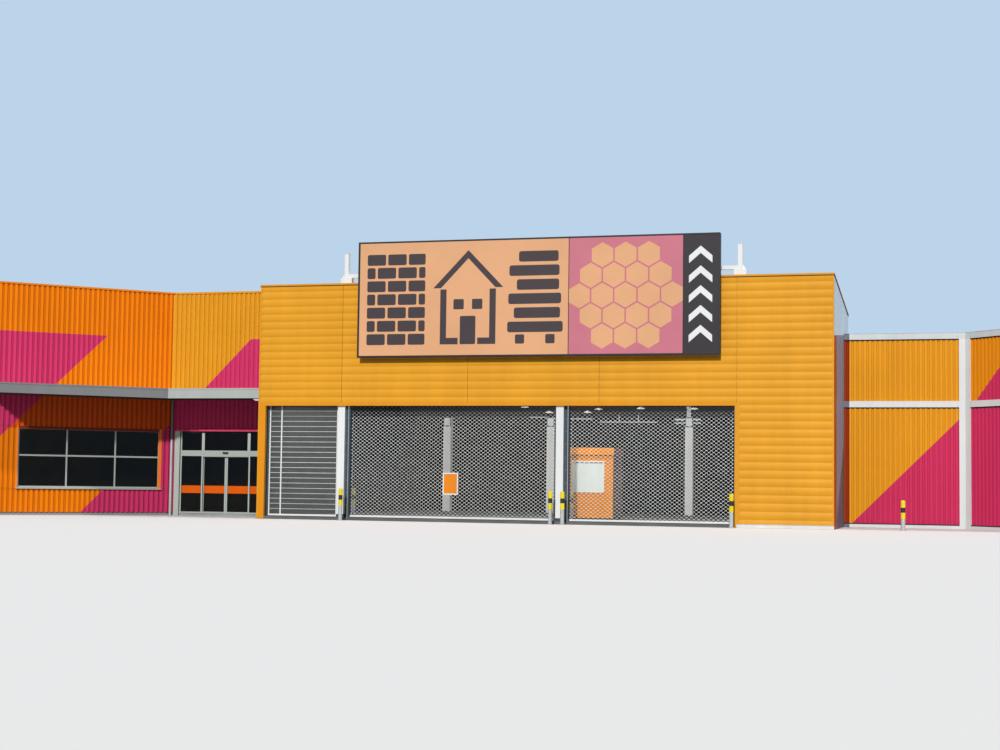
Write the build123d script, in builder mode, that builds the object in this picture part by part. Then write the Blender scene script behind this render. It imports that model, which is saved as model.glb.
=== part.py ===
from build123d import *
from math import radians, sqrt, tan
import os

# Home improvement store: a drive-in hall behind a tall portal block, a store wing with
# its entrance on the left, and a framed yard wall on the right.
# Millimetres, +Z up. X runs to the right along the front and Y into the building.
# The origin is on the ground, at the middle of the hall floor.

# Portal block and hall
PORTAL_WIDTH = 21800
PORTAL_HEIGHT = 8990
PORTAL_REAR_HEIGHT = 8140
PORTAL_DEPTH = 6200
HALL_DEPTH = 18000
HALL_HEIGHT = 6620
FLOOR_THICKNESS = 100
ROOF_THICKNESS = 200

# Walls: a core behind a ribbed sheet, with a flashing along every top edge
CORE = 240
SKIN = 60
PANEL = 20
CAP_HEIGHT = 70
CAP_OVERHANG = 20
JOINT_GAP = 12

# The portal's sheets end just above the ground, all others above a bare base
SKIN_BOTTOM = 10
WALL_BASE = 120

# Upright ribs: the crest and each slope as shares of the pitch, and the shortest face
RIB_CREST = 0.44
RIB_SLOPE = 0.12
RIB_SHORTEST_FACE = 1

# Lying ribs of the portal front: they bulge outwards, with a sharp groove between two
PORTAL_RIB_PITCH = 290
PORTAL_RIB_DEPTH = 30
PORTAL_TOP_GROOVE = 220
PORTAL_BAY = 5000
PORTAL_BAYS_IN_MIDDLE = 3

# Gate opening, from the left side wall to a strip of trim beside the last joint
JAMB_TRIM = 70
OPENING_HEIGHT = 4320
TRIM_WIDTH = 100
PLINTH_HEIGHT = 130

# Gate posts, guides and roller grilles
POST_LEFT = -7660
POST_MIDDLE = 880
POST_WIDTH = 280
POST_DEPTH = 260
POST_SETBACK = 100
GUIDE_DEPTH = 120
GUIDE_NARROW = 60
GUIDE_WIDE = 200
CURTAIN_THICKNESS = 20
BOTTOM_BAR_HEIGHT = 90
BOTTOM_BAR_THICKNESS = 60
ROLLER_BOX_DEPTH = 560
ROLLER_BOX_HEIGHT = 580
BAR_WIDTH = 24
ROD_PITCH = 200
MESH_CELL_WIDTH = 750
MESH_ROWS = 7
RAIL_INSET = 560

# Sign in front of the portal
SIGN_LEFT = -6760
SIGN_RIGHT = 6930
SIGN_BOTTOM = 6120
SIGN_TOP = 10480
SIGN_STANDOFF = 80
SIGN_THICKNESS = 250
SIGN_FRAME = 60
SIGN_PANEL_THICKNESS = 30
SIGN_WIDE_PANEL = 8170
SIGN_SQUARE_PANEL = 4210
SIGN_RAIL_WIDTH = 120
SIGN_RAILS = 4
SIGN_POST_LEFT = -7400
SIGN_POST_RIGHT = 7600
SIGN_POST_SIZE = 140
SIGN_POST_TOP = 10120
SIGN_FOOT_SIZE = (450, 260, 200)
SIGN_BEAM_BOTTOM = 9190

# Hall structure
HALL_COLUMN = 350
COLUMN_SETBACK = 15600
COLUMN_WALL_GAP = 2600
INNER_COLUMNS = (-3300, 3130)
REAR_FASCIA_BOTTOM = 4520
REAR_EXIT = (5400, 9400)
REAR_EXIT_HEIGHT = 4320
BEAM_HEIGHT = 400
BEAM_WIDTH = 200
BEAM_COUNT = 4

# Booth behind the right grille
BOOTH_LEFT = 1040
BOOTH_WIDTH = 1640
BOOTH_DEPTH = 1600
BOOTH_SETBACK = 1700
BOOTH_HEIGHT = 2560
BOOTH_ROOF_HEIGHT = 270
BOOTH_ROOF_OVERHANG = 40
BOOTH_PANEL_SIZE = (1225, 1170)
BOOTH_PANEL_INSET = 80
BOOTH_PANEL_BOTTOM = 1160
BOARD_LEFT = -3500
BOARD_SIZE = (600, 820)
BOARD_BOTTOM = 1010
BOARD_THICKNESS = 12

# Bollards beside the gate posts: place along the front and distance from it
BOLLARD_DIAMETER = 150
BOLLARD_HEIGHT = 1160
BOLLARDS_OUTSIDE = (-7300, 820, 1270, 7380)
BOLLARDS_INSIDE = (-7290, 1280, 7340)
BOLLARD_FRONT_GAP = 400
BOLLARD_REAR_GAP = 900
YARD_BOLLARD = (13200, 770)
YARD_BOLLARD_HEIGHT = 1010

# Store wing
STORE_SETBACK = 2200
STORE_FACE = 4760
STORE_ANGLED = 7410
STORE_END_RETURN = 600
STORE_HEIGHT = 9020
STORE_ROOF_TOP = 8420
WALL_RIB_PITCH = 200
WALL_RIB_DEPTH = 35
REAR_RIB_PITCH = 250

# Canopy along both faces of the store
CANOPY_DEPTH = 2200
CANOPY_BOTTOM = 4620
CANOPY_HEIGHT = 370
CANOPY_DECK = 200
CANOPY_FASCIA = 80
DOWNPIPE_DIAMETER = 110

# Window of the angled wall, measured from the wall's outer end
WINDOW_START = 1280
WINDOW_END = 6930
WINDOW_BOTTOM = 1070
WINDOW_TOP = 3390
WINDOW_TRANSOM = 2320
WINDOW_MULLIONS = (3190, 5120)
FRAME_WIDTH = 60
FRAME_DEPTH = 60
GLASS_THICKNESS = 12

# Storefront of the front face, measured from the corner of the two faces
STOREFRONT_POST = (130, 360)
STOREFRONT_HEAD = 3390
DOORWAY_START = 1360
DOORWAY_END = 3360
OPERATOR_BOTTOM = 2430
OPERATOR_TOP = 2640
OPERATOR_DEPTH = 120
LEAF_THICKNESS = 40
LEAF_STILE = 60
LEAF_LAP = 30
LEAF_GLASS = 8
FLOOR_CLEARANCE = 10
RUNNING_GAP = 10
SEAT_GAP = 0.3
TRACK_SIZE = 30
HANGER_SIZE = 10
HANGER_WIDTH = 80

# Yard wall: one bay along the front and one bay turned towards the viewer
YARD_SETBACK = 4200
YARD_FACE = 4370
YARD_ANGLED = 4400
YARD_HEIGHT = 7190
YARD_TOP_BEAM = 220
YARD_MIDDLE_BEAM = (4450, 4680)
YARD_FRAME = 200
YARD_POST_WIDTH = 220
YARD_RIB_PITCH = 183
YARD_PANEL_SETBACK = 60
YARD_PANEL_THICKNESS = 100

# Places worked out from the sizes above
HALF = PORTAL_WIDTH / 2
FRONT = -HALL_DEPTH / 2
BACK = HALL_DEPTH / 2
DIAGONAL = 1 / sqrt(2)
MITRE = tan(radians(22.5))
WALL = SKIN + CORE
FIRST_JOINT = -PORTAL_BAY * PORTAL_BAYS_IN_MIDDLE / 2
JOINTS = [FIRST_JOINT + PORTAL_BAY * step for step in range(PORTAL_BAYS_IN_MIDDLE + 1)]
OPENING_LEFT = -HALF + WALL
OPENING_RIGHT = JOINTS[-1] - JAMB_TRIM
HALL_COLUMNS = (-HALF + COLUMN_WALL_GAP, *INNER_COLUMNS, HALF - COLUMN_WALL_GAP)
STORE_Y = FRONT + STORE_SETBACK
STORE_CORNER_X = -HALF - STORE_FACE
ANGLED_X = STORE_CORNER_X - STORE_ANGLED * DIAGONAL
ANGLED_Y = STORE_Y - STORE_ANGLED * DIAGONAL
RETURN_X = ANGLED_X - STORE_END_RETURN * DIAGONAL
RETURN_Y = ANGLED_Y + STORE_END_RETURN * DIAGONAL
STORE_RIGHT = -HALF + PANEL
YARD_Y = FRONT + YARD_SETBACK
YARD_CORNER_X = HALF + YARD_FACE

ground = Plane.XY
front_face = Plane(origin=(0, FRONT, 0))
store_face = Plane(origin=(STORE_CORNER_X, STORE_Y, 0))
angled_face = Plane(origin=(ANGLED_X, ANGLED_Y, 0), x_dir=(1, 1, 0), z_dir=(0, 0, 1))
yard_face = Plane(origin=(HALF, YARD_Y, 0))
yard_angled_face = Plane(origin=(YARD_CORNER_X, YARD_Y, 0), x_dir=(1, -1, 0), z_dir=(0, 0, 1))


def block(plane, along, inward, heights):
    """Add a block: its range along the wall, into the building and above ground."""
    with BuildSketch(plane.offset(heights[0])) as plan:
        with Locations(((along[0] + along[1]) / 2, (inward[0] + inward[1]) / 2)):
            Rectangle(along[1] - along[0], inward[1] - inward[0])
    extrude(plan.sketch, amount=heights[1] - heights[0])


def prism(plane, outline, heights):
    """Add an upright prism on a plan outline."""
    with BuildSketch(plane.offset(heights[0])) as plan:
        with BuildLine():
            Polyline(*outline, close=True)
        make_face()
    extrude(plan.sketch, amount=heights[1] - heights[0])


def cross_section(plane, start, end, outline):
    """Add a bar along a wall, from start to end, with an outline of (inward, height) points."""
    origin = plane.from_local_coords((start, 0, 0))
    section = Plane(origin=origin, x_dir=plane.y_dir, z_dir=plane.x_dir)
    with BuildSketch(section) as profile:
        with BuildLine():
            Polyline(*outline, close=True)
        make_face()
    extrude(profile.sketch, amount=end - start)


def rib_depth_at(place, pitch, depth):
    """Depth of a ribbed sheet's face behind its crest: flat crest, slope, valley, slope."""
    share = (place % pitch) / pitch
    if share < RIB_CREST:
        return 0
    if share < RIB_CREST + RIB_SLOPE:
        return depth * (share - RIB_CREST) / RIB_SLOPE
    if share < 1 - RIB_SLOPE:
        return depth
    return depth * (1 - share) / RIB_SLOPE


def rib_points(start, end, pitch, depth):
    """Points (place, depth) of a ribbed face from start to end, in step with its pitch."""
    shares = (0, RIB_CREST, RIB_CREST + RIB_SLOPE, 1 - RIB_SLOPE)
    ribs = range(int(start // pitch), int(end // pitch) + 1)
    bends = [(rib + share) * pitch for rib in ribs for share in shares]
    low = start + RIB_SHORTEST_FACE
    high = end - RIB_SHORTEST_FACE
    places = [start] + [bend for bend in bends if low < bend < high] + [end]
    return [(place, rib_depth_at(place, pitch, depth)) for place in places]


def upright_ribs(plane, along, heights, pitch, front, back):
    """Add a sheet with upright ribs between two depths behind the wall's face."""
    face = [(t, front + d) for t, d in rib_points(along[0], along[1], pitch, WALL_RIB_DEPTH)]
    prism(plane, face + [(along[1], back), (along[0], back)], heights)


def lying_ribs(plane, along, heights):
    """Add a sheet with lying, bulging ribs, as deep as the skin of a wall."""
    bottom, top = heights
    top_groove = PORTAL_HEIGHT - CAP_HEIGHT - PORTAL_TOP_GROOVE
    ribs = range(-1, int((top_groove - bottom) / PORTAL_RIB_PITCH) + 1)
    grooves = [top_groove - rib * PORTAL_RIB_PITCH for rib in ribs]
    origin = plane.from_local_coords((along[0], 0, 0))
    section = Plane(origin=origin, x_dir=plane.y_dir, z_dir=plane.x_dir)
    with BuildSketch(section) as profile:
        with BuildLine():
            for groove in grooves:
                ThreePointArc(
                    (PORTAL_RIB_DEPTH, groove),
                    (0, groove - PORTAL_RIB_PITCH / 2),
                    (PORTAL_RIB_DEPTH, groove - PORTAL_RIB_PITCH),
                )
            lowest = grooves[-1] - PORTAL_RIB_PITCH
            Polyline(
                (PORTAL_RIB_DEPTH, lowest),
                (SKIN, lowest),
                (SKIN, grooves[0]),
                (PORTAL_RIB_DEPTH, grooves[0]),
            )
        make_face()
        with Locations((SKIN / 2, (bottom + top) / 2)):
            Rectangle(SKIN, top - bottom, mode=Mode.INTERSECT)
    extrude(profile.sketch, amount=along[1] - along[0])


def inset(corners, depth):
    """Move every side of a closed plan outline inwards; corners run anticlockwise."""
    moved = []
    for index, corner in enumerate(corners):
        before = Vector(*corners[index - 1])
        here = Vector(*corner)
        after = Vector(*corners[(index + 1) % len(corners)])
        arriving = (here - before).normalized().rotate(Axis.Z, 90)
        leaving = (after - here).normalized().rotate(Axis.Z, 90)
        moved.append(here + (arriving + leaving) * (depth / (1 + arriving.dot(leaving))))
    return [(point.X, point.Y) for point in moved]


def finish(name, label):
    """Label a finished piece and write it."""
    name.part.label = label
    export_step(name.part, f"parts/{label}.step")


# Hall floor, with its threshold between the gate jambs
with BuildPart() as hall_floor:
    side = HALF - WALL
    inner = FRONT + WALL
    prism(
        ground,
        [
            (OPENING_LEFT, FRONT),
            (OPENING_RIGHT, FRONT),
            (OPENING_RIGHT, inner),
            (side, inner),
            (side, BACK),
            (OPENING_LEFT, BACK),
        ],
        (0, FLOOR_THICKNESS),
    )
finish(hall_floor, "hall_floor")

# Portal front wall: lintel over the gates and a pier on each side
with BuildPart() as portal_lintel_wall:
    lintel = (OPENING_HEIGHT, PORTAL_HEIGHT - CAP_HEIGHT)
    block(front_face, (-HALF + PANEL, HALF - PANEL), (SKIN, WALL), lintel)
finish(portal_lintel_wall, "portal_lintel_wall")

with BuildPart() as portal_piers:
    block(front_face, (-HALF + PANEL, OPENING_LEFT), (SKIN, WALL), (0, OPENING_HEIGHT))
    block(front_face, (OPENING_RIGHT, HALF - PANEL), (SKIN, WALL), (0, OPENING_HEIGHT))
finish(portal_piers, "portal_piers")


def portal_top(distance):
    """Height of the portal's sloping top at a distance behind the front."""
    return PORTAL_HEIGHT + (PORTAL_REAR_HEIGHT - PORTAL_HEIGHT) * distance / PORTAL_DEPTH


SIDE_LEFT = (-HALF + PANEL, -HALF + WALL)
SIDE_RIGHT = (HALF - WALL, HALF - PANEL)

# The portal's sides run back to the store on the left and to the hall wall on the right
SIDES = ((SIDE_LEFT, STORE_SETBACK), (SIDE_RIGHT, PORTAL_DEPTH))


def under_slope(front, rear, bottom, top_drop, thickness=None):
    """Outline of (inward, height) points under the portal's sloping top."""
    high = [(front, portal_top(front) - top_drop), (rear, portal_top(rear) - top_drop)]
    if thickness is None:
        return [(front, bottom)] + high + [(rear, bottom)]
    return [(d, z - thickness) for d, z in high] + high[::-1]


# Side walls of the portal, under the sloping flashing
with BuildPart() as portal_side_walls:
    for (start, end), rear in SIDES:
        cross_section(front_face, start, end, under_slope(WALL, rear, 0, CAP_HEIGHT))
finish(portal_side_walls, "portal_side_walls")

# Wall that closes the portal block above the hall roof
with BuildPart() as portal_rear_wall:
    block(
        front_face,
        (-HALF + WALL, HALF - WALL),
        (PORTAL_DEPTH - CORE, PORTAL_DEPTH),
        (HALL_HEIGHT, PORTAL_REAR_HEIGHT - CAP_HEIGHT),
    )
finish(portal_rear_wall, "portal_rear_wall")

# Roof of the portal block, sloping back between its walls
with BuildPart() as portal_roof:
    slab = under_slope(WALL, PORTAL_DEPTH - CORE, 0, ROOF_THICKNESS, ROOF_THICKNESS)
    cross_section(front_face, -HALF + WALL, HALF - WALL, slab)
finish(portal_roof, "portal_roof")

# Ribbed sheets of the portal front, with a joint at every bay
with BuildPart() as portal_cladding:
    edges = [-HALF] + JOINTS + [HALF]
    for left, right in zip(edges, edges[1:]):
        start = left if left == -HALF else left + JOINT_GAP / 2
        end = right if right == HALF else right - JOINT_GAP / 2
        bottom = PLINTH_HEIGHT if left >= OPENING_RIGHT else OPENING_HEIGHT + TRIM_WIDTH
        lying_ribs(front_face, (start, end), (bottom, PORTAL_HEIGHT - CAP_HEIGHT))
finish(portal_cladding, "portal_cladding")

# Smooth trim round the gate opening
with BuildPart() as opening_trim:
    trim_top = OPENING_HEIGHT + TRIM_WIDTH
    legs = (SKIN_BOTTOM, OPENING_HEIGHT)
    block(front_face, (-HALF, JOINTS[-1]), (0, SKIN), (OPENING_HEIGHT, trim_top))
    block(front_face, (-HALF, OPENING_LEFT), (0, SKIN), legs)
    block(front_face, (OPENING_RIGHT, JOINTS[-1]), (0, SKIN), legs)
finish(opening_trim, "opening_trim")

with BuildPart() as plinth:
    block(front_face, (JOINTS[-1], HALF), (0, SKIN), (0, PLINTH_HEIGHT))
finish(plinth, "plinth")

# Smooth panels on the portal's sides, above the ground
with BuildPart() as portal_side_panels:
    panels = ((-HALF, STORE_SETBACK), (HALF - PANEL, PORTAL_DEPTH))
    for start, rear in panels:
        outline = under_slope(SKIN, rear, SKIN_BOTTOM, CAP_HEIGHT)
        cross_section(front_face, start, start + PANEL, outline)
finish(portal_side_panels, "portal_side_panels")

# Flashing on top of the portal: level in front and behind, sloping at the sides
with BuildPart() as portal_caps:
    block(
        front_face,
        (-HALF - CAP_OVERHANG, HALF + CAP_OVERHANG),
        (-CAP_OVERHANG, WALL),
        (PORTAL_HEIGHT - CAP_HEIGHT, PORTAL_HEIGHT),
    )
    side_caps = (
        (-HALF - CAP_OVERHANG, -HALF + WALL, STORE_SETBACK - CAP_OVERHANG),
        (HALF - WALL, HALF + CAP_OVERHANG, PORTAL_DEPTH),
    )
    for start, end, rear in side_caps:
        cross_section(front_face, start, end, under_slope(WALL, rear, 0, 0, CAP_HEIGHT))
    block(
        front_face,
        (-HALF + WALL, HALF - WALL),
        (PORTAL_DEPTH - CORE, PORTAL_DEPTH),
        (PORTAL_REAR_HEIGHT - CAP_HEIGHT, PORTAL_REAR_HEIGHT),
    )
finish(portal_caps, "portal_caps")

# Hall walls: the right one is as high as the hall, the party wall as high as the store
with BuildPart() as hall_side_walls:
    block(front_face, SIDE_RIGHT, (PORTAL_DEPTH, HALL_DEPTH), (0, HALL_HEIGHT))
    party_top = STORE_HEIGHT - CAP_HEIGHT
    block(front_face, SIDE_LEFT, (STORE_SETBACK, HALL_DEPTH), (0, party_top))
finish(hall_side_walls, "hall_side_walls")

# Hall roof on its beams, which rest on the side walls
with BuildPart() as hall_roof:
    block(
        front_face,
        (-HALF + WALL, HALF - WALL),
        (WALL, HALL_DEPTH),
        (HALL_HEIGHT - ROOF_THICKNESS, HALL_HEIGHT),
    )
finish(hall_roof, "hall_roof")

with BuildPart() as roof_beams:
    beam_top = HALL_HEIGHT - ROOF_THICKNESS
    beam_step = HALL_DEPTH / (BEAM_COUNT + 1)
    for number in range(1, BEAM_COUNT + 1):
        middle = number * beam_step
        reach = (middle - BEAM_WIDTH / 2, middle + BEAM_WIDTH / 2)
        block(front_face, (-HALF + WALL, HALF - WALL), reach, (beam_top - BEAM_HEIGHT, beam_top))
finish(roof_beams, "roof_beams")

# Rear wall beside the exit, standing on the floor and set back by the depth of its sheet
UNDER_ROOF = HALL_HEIGHT - ROOF_THICKNESS
REAR_WALL = (HALL_DEPTH - WALL, HALL_DEPTH - SKIN)
with BuildPart() as hall_rear_wall:
    for along in ((-HALF + WALL, REAR_EXIT[0]), (REAR_EXIT[1], HALF - WALL)):
        block(front_face, along, REAR_WALL, (FLOOR_THICKNESS, UNDER_ROOF))
finish(hall_rear_wall, "hall_rear_wall")

# Fascia walls: over the row of columns in front of the rear wall, and over the exit
column_back = COLUMN_SETBACK + HALL_COLUMN
with BuildPart() as hall_rear_fascia:
    block(
        front_face,
        (-HALF + WALL, HALF - WALL),
        (column_back - WALL, column_back),
        (REAR_FASCIA_BOTTOM, UNDER_ROOF),
    )
    block(front_face, REAR_EXIT, REAR_WALL, (REAR_EXIT_HEIGHT, UNDER_ROOF))
finish(hall_rear_fascia, "hall_rear_fascia")

with BuildPart() as hall_columns:
    for place in HALL_COLUMNS:
        block(
            front_face,
            (place - HALL_COLUMN / 2, place + HALL_COLUMN / 2),
            (COLUMN_SETBACK, column_back),
            (FLOOR_THICKNESS, REAR_FASCIA_BOTTOM),
        )
finish(hall_columns, "hall_columns")

# Gate posts between the three bays
with BuildPart() as gate_posts:
    for left in (POST_LEFT, POST_MIDDLE):
        block(
            front_face,
            (left, left + POST_WIDTH),
            (POST_SETBACK, POST_SETBACK + POST_DEPTH),
            (FLOOR_THICKNESS, OPENING_HEIGHT),
        )
finish(gate_posts, "gate_posts")

# Each bay: left edge, right edge, left guide width, right guide width
BAY_LEFT = (-HALF + WALL, POST_LEFT, GUIDE_NARROW, GUIDE_NARROW)
BAY_MIDDLE = (POST_LEFT + POST_WIDTH, POST_MIDDLE, GUIDE_WIDE, GUIDE_NARROW)
BAY_RIGHT = (POST_MIDDLE + POST_WIDTH, OPENING_RIGHT, GUIDE_WIDE, GUIDE_NARROW)
BAYS = (BAY_LEFT, BAY_MIDDLE, BAY_RIGHT)
GUIDE_RANGE = (POST_SETBACK + POST_DEPTH - GUIDE_DEPTH, POST_SETBACK + POST_DEPTH)
CURTAIN_FRONT = sum(GUIDE_RANGE) / 2 - CURTAIN_THICKNESS / 2
CURTAIN_BOTTOM = FLOOR_THICKNESS + BOTTOM_BAR_HEIGHT

with BuildPart() as gate_guides:
    for left, right, left_guide, right_guide in BAYS:
        heights = (FLOOR_THICKNESS, OPENING_HEIGHT)
        block(front_face, (left, left + left_guide), GUIDE_RANGE, heights)
        block(front_face, (right - right_guide, right), GUIDE_RANGE, heights)
finish(gate_guides, "gate_guides")

with BuildPart() as roller_boxes:
    for left, right, left_guide, right_guide in BAYS:
        block(
            front_face,
            (left + left_guide, right - right_guide),
            (WALL, WALL + ROLLER_BOX_DEPTH),
            (OPENING_HEIGHT, OPENING_HEIGHT + ROLLER_BOX_HEIGHT),
        )
finish(roller_boxes, "roller_boxes")


def bottom_bar(left, right):
    """Add the bar along a curtain's lower edge, resting on the floor."""
    middle = sum(GUIDE_RANGE) / 2
    inward = (middle - BOTTOM_BAR_THICKNESS / 2, middle + BOTTOM_BAR_THICKNESS / 2)
    block(front_face, (left, right), inward, (FLOOR_THICKNESS, CURTAIN_BOTTOM))


def curtain_plane():
    """Upright plane of the grille curtains; its normal points towards the viewer."""
    back = FRONT + CURTAIN_FRONT + CURTAIN_THICKNESS
    return Plane(origin=(0, back, 0), x_dir=(1, 0, 0), z_dir=(0, -1, 0))


def edge_bars(left, right):
    """Sketch the bars that frame a curtain on all four sides."""
    middle_x = (left + right) / 2
    middle_z = (CURTAIN_BOTTOM + OPENING_HEIGHT) / 2
    width = right - left
    height = OPENING_HEIGHT - CURTAIN_BOTTOM
    with Locations((middle_x, middle_z)):
        Rectangle(width, height)
        Rectangle(width - 2 * BAR_WIDTH, height - 2 * BAR_WIDTH, mode=Mode.SUBTRACT)


def wave_outline(left, right, level, swing):
    """Outline of one wavy bar between two edges: swing is its height up and then down."""
    halves = round((right - left) / MESH_CELL_WIDTH) * 2
    step = (right - left) / halves
    lower = [
        (left + step * n, level + (swing if n % 2 else -swing) - BAR_WIDTH / 2)
        for n in range(halves + 1)
    ]
    upper = [(x, z + BAR_WIDTH) for x, z in reversed(lower)]
    return lower + upper


def mesh_curtain(left, right):
    """Add a curtain of wavy bars; neighbours swing in turn and meet at their crests."""
    row_height = (OPENING_HEIGHT - CURTAIN_BOTTOM - BAR_WIDTH) / MESH_ROWS
    with BuildSketch(curtain_plane()) as curtain:
        edge_bars(left, right)
        for row in range(MESH_ROWS):
            level = CURTAIN_BOTTOM + BAR_WIDTH / 2 + row_height * (row + 0.5)
            swing = row_height / 2 if row % 2 else -row_height / 2
            with BuildLine():
                Polyline(*wave_outline(left, right, level, swing), close=True)
            make_face()
    extrude(curtain.sketch, amount=CURTAIN_THICKNESS)
    bottom_bar(left, right)


# Roller grille of the narrow bay: straight rods, with an upright rail near its left edge
with BuildPart() as grille_left:
    left = BAY_LEFT[0] + BAY_LEFT[2]
    right = BAY_LEFT[1] - BAY_LEFT[3]
    rods = round((OPENING_HEIGHT - CURTAIN_BOTTOM) / ROD_PITCH)
    rod_step = (OPENING_HEIGHT - CURTAIN_BOTTOM) / rods
    with BuildSketch(curtain_plane()):
        edge_bars(left, right)
        for rod in range(1, rods):
            with Locations(((left + right) / 2, CURTAIN_BOTTOM + rod * rod_step)):
                Rectangle(right - left, BAR_WIDTH)
        with Locations((BAY_LEFT[0] + RAIL_INSET, (CURTAIN_BOTTOM + OPENING_HEIGHT) / 2)):
            Rectangle(2 * BAR_WIDTH, OPENING_HEIGHT - CURTAIN_BOTTOM)
    extrude(amount=CURTAIN_THICKNESS)
    bottom_bar(left, right)
finish(grille_left, "grille_left")

with BuildPart() as grille_middle:
    mesh_curtain(BAY_MIDDLE[0] + BAY_MIDDLE[2], BAY_MIDDLE[1] - BAY_MIDDLE[3])
finish(grille_middle, "grille_middle")

with BuildPart() as grille_right:
    mesh_curtain(BAY_RIGHT[0] + BAY_RIGHT[2], BAY_RIGHT[1] - BAY_RIGHT[3])
finish(grille_right, "grille_right")

# Bare notice board on the middle grille
with BuildPart() as notice_board:
    block(
        front_face,
        (BOARD_LEFT, BOARD_LEFT + BOARD_SIZE[0]),
        (CURTAIN_FRONT - BOARD_THICKNESS, CURTAIN_FRONT),
        (BOARD_BOTTOM, BOARD_BOTTOM + BOARD_SIZE[1]),
    )
finish(notice_board, "notice_board")

# Bollards: beside the gate posts, outside and inside, and one before the yard wall
outside_bollards = [(place, -BOLLARD_FRONT_GAP) for place in BOLLARDS_OUTSIDE]
inside_bollards = [(place, BOLLARD_REAR_GAP) for place in BOLLARDS_INSIDE]
with BuildPart() as bollards:
    with BuildSketch(front_face):
        with Locations(*outside_bollards):
            Circle(BOLLARD_DIAMETER / 2)
    extrude(amount=BOLLARD_HEIGHT)
    with BuildSketch(front_face):
        with Locations(YARD_BOLLARD):
            Circle(BOLLARD_DIAMETER / 2)
    extrude(amount=YARD_BOLLARD_HEIGHT)
    with BuildSketch(front_face.offset(FLOOR_THICKNESS)):
        with Locations(*inside_bollards):
            Circle(BOLLARD_DIAMETER / 2)
    extrude(amount=BOLLARD_HEIGHT - FLOOR_THICKNESS)
finish(bollards, "bollards")

# Booth on the hall floor
BOOTH_ALONG = (BOOTH_LEFT, BOOTH_LEFT + BOOTH_WIDTH)
BOOTH_INWARD = (BOOTH_SETBACK, BOOTH_SETBACK + BOOTH_DEPTH)
with BuildPart() as booth_body:
    block(front_face, BOOTH_ALONG, BOOTH_INWARD, (FLOOR_THICKNESS, BOOTH_HEIGHT))
    block(
        front_face,
        (BOOTH_ALONG[0] - BOOTH_ROOF_OVERHANG, BOOTH_ALONG[1] + BOOTH_ROOF_OVERHANG),
        (BOOTH_INWARD[0] - BOOTH_ROOF_OVERHANG, BOOTH_INWARD[1] + BOOTH_ROOF_OVERHANG),
        (BOOTH_HEIGHT, BOOTH_HEIGHT + BOOTH_ROOF_HEIGHT),
    )
finish(booth_body, "booth_body")

with BuildPart() as booth_panel:
    panel_left = BOOTH_LEFT + BOOTH_PANEL_INSET
    block(
        front_face,
        (panel_left, panel_left + BOOTH_PANEL_SIZE[0]),
        (BOOTH_SETBACK - PANEL, BOOTH_SETBACK),
        (BOOTH_PANEL_BOTTOM, BOOTH_PANEL_BOTTOM + BOOTH_PANEL_SIZE[1]),
    )
finish(booth_panel, "booth_panel")

# Sign: a shallow box, recessed in front for three panels
SIGN_BACK = -SIGN_STANDOFF
SIGN_FACE = SIGN_BACK - SIGN_THICKNESS
with BuildPart() as sign_box:
    block(front_face, (SIGN_LEFT, SIGN_RIGHT), (SIGN_FACE, SIGN_BACK), (SIGN_BOTTOM, SIGN_TOP))
    sign_front = Plane(origin=(0, FRONT + SIGN_FACE, 0), x_dir=(1, 0, 0), z_dir=(0, -1, 0))
    with BuildSketch(sign_front):
        with Locations(((SIGN_LEFT + SIGN_RIGHT) / 2, (SIGN_BOTTOM + SIGN_TOP) / 2)):
            Rectangle(
                SIGN_RIGHT - SIGN_LEFT - 2 * SIGN_FRAME, SIGN_TOP - SIGN_BOTTOM - 2 * SIGN_FRAME
            )
    extrude(amount=-SIGN_PANEL_THICKNESS, mode=Mode.SUBTRACT)
finish(sign_box, "sign_box")

panel_edges = [SIGN_LEFT + SIGN_FRAME]
panel_edges.append(SIGN_LEFT + SIGN_WIDE_PANEL)
panel_edges.append(SIGN_LEFT + SIGN_WIDE_PANEL + SIGN_SQUARE_PANEL)
panel_edges.append(SIGN_RIGHT - SIGN_FRAME)
panel_inward = (SIGN_FACE, SIGN_FACE + SIGN_PANEL_THICKNESS)
panel_heights = (SIGN_BOTTOM + SIGN_FRAME, SIGN_TOP - SIGN_FRAME)

with BuildPart() as sign_panel_wide:
    block(front_face, (panel_edges[0], panel_edges[1]), panel_inward, panel_heights)
finish(sign_panel_wide, "sign_panel_wide")

with BuildPart() as sign_panel_square:
    block(front_face, (panel_edges[1], panel_edges[2]), panel_inward, panel_heights)
finish(sign_panel_square, "sign_panel_square")

with BuildPart() as sign_panel_narrow:
    block(front_face, (panel_edges[2], panel_edges[3]), panel_inward, panel_heights)
finish(sign_panel_narrow, "sign_panel_narrow")

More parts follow.
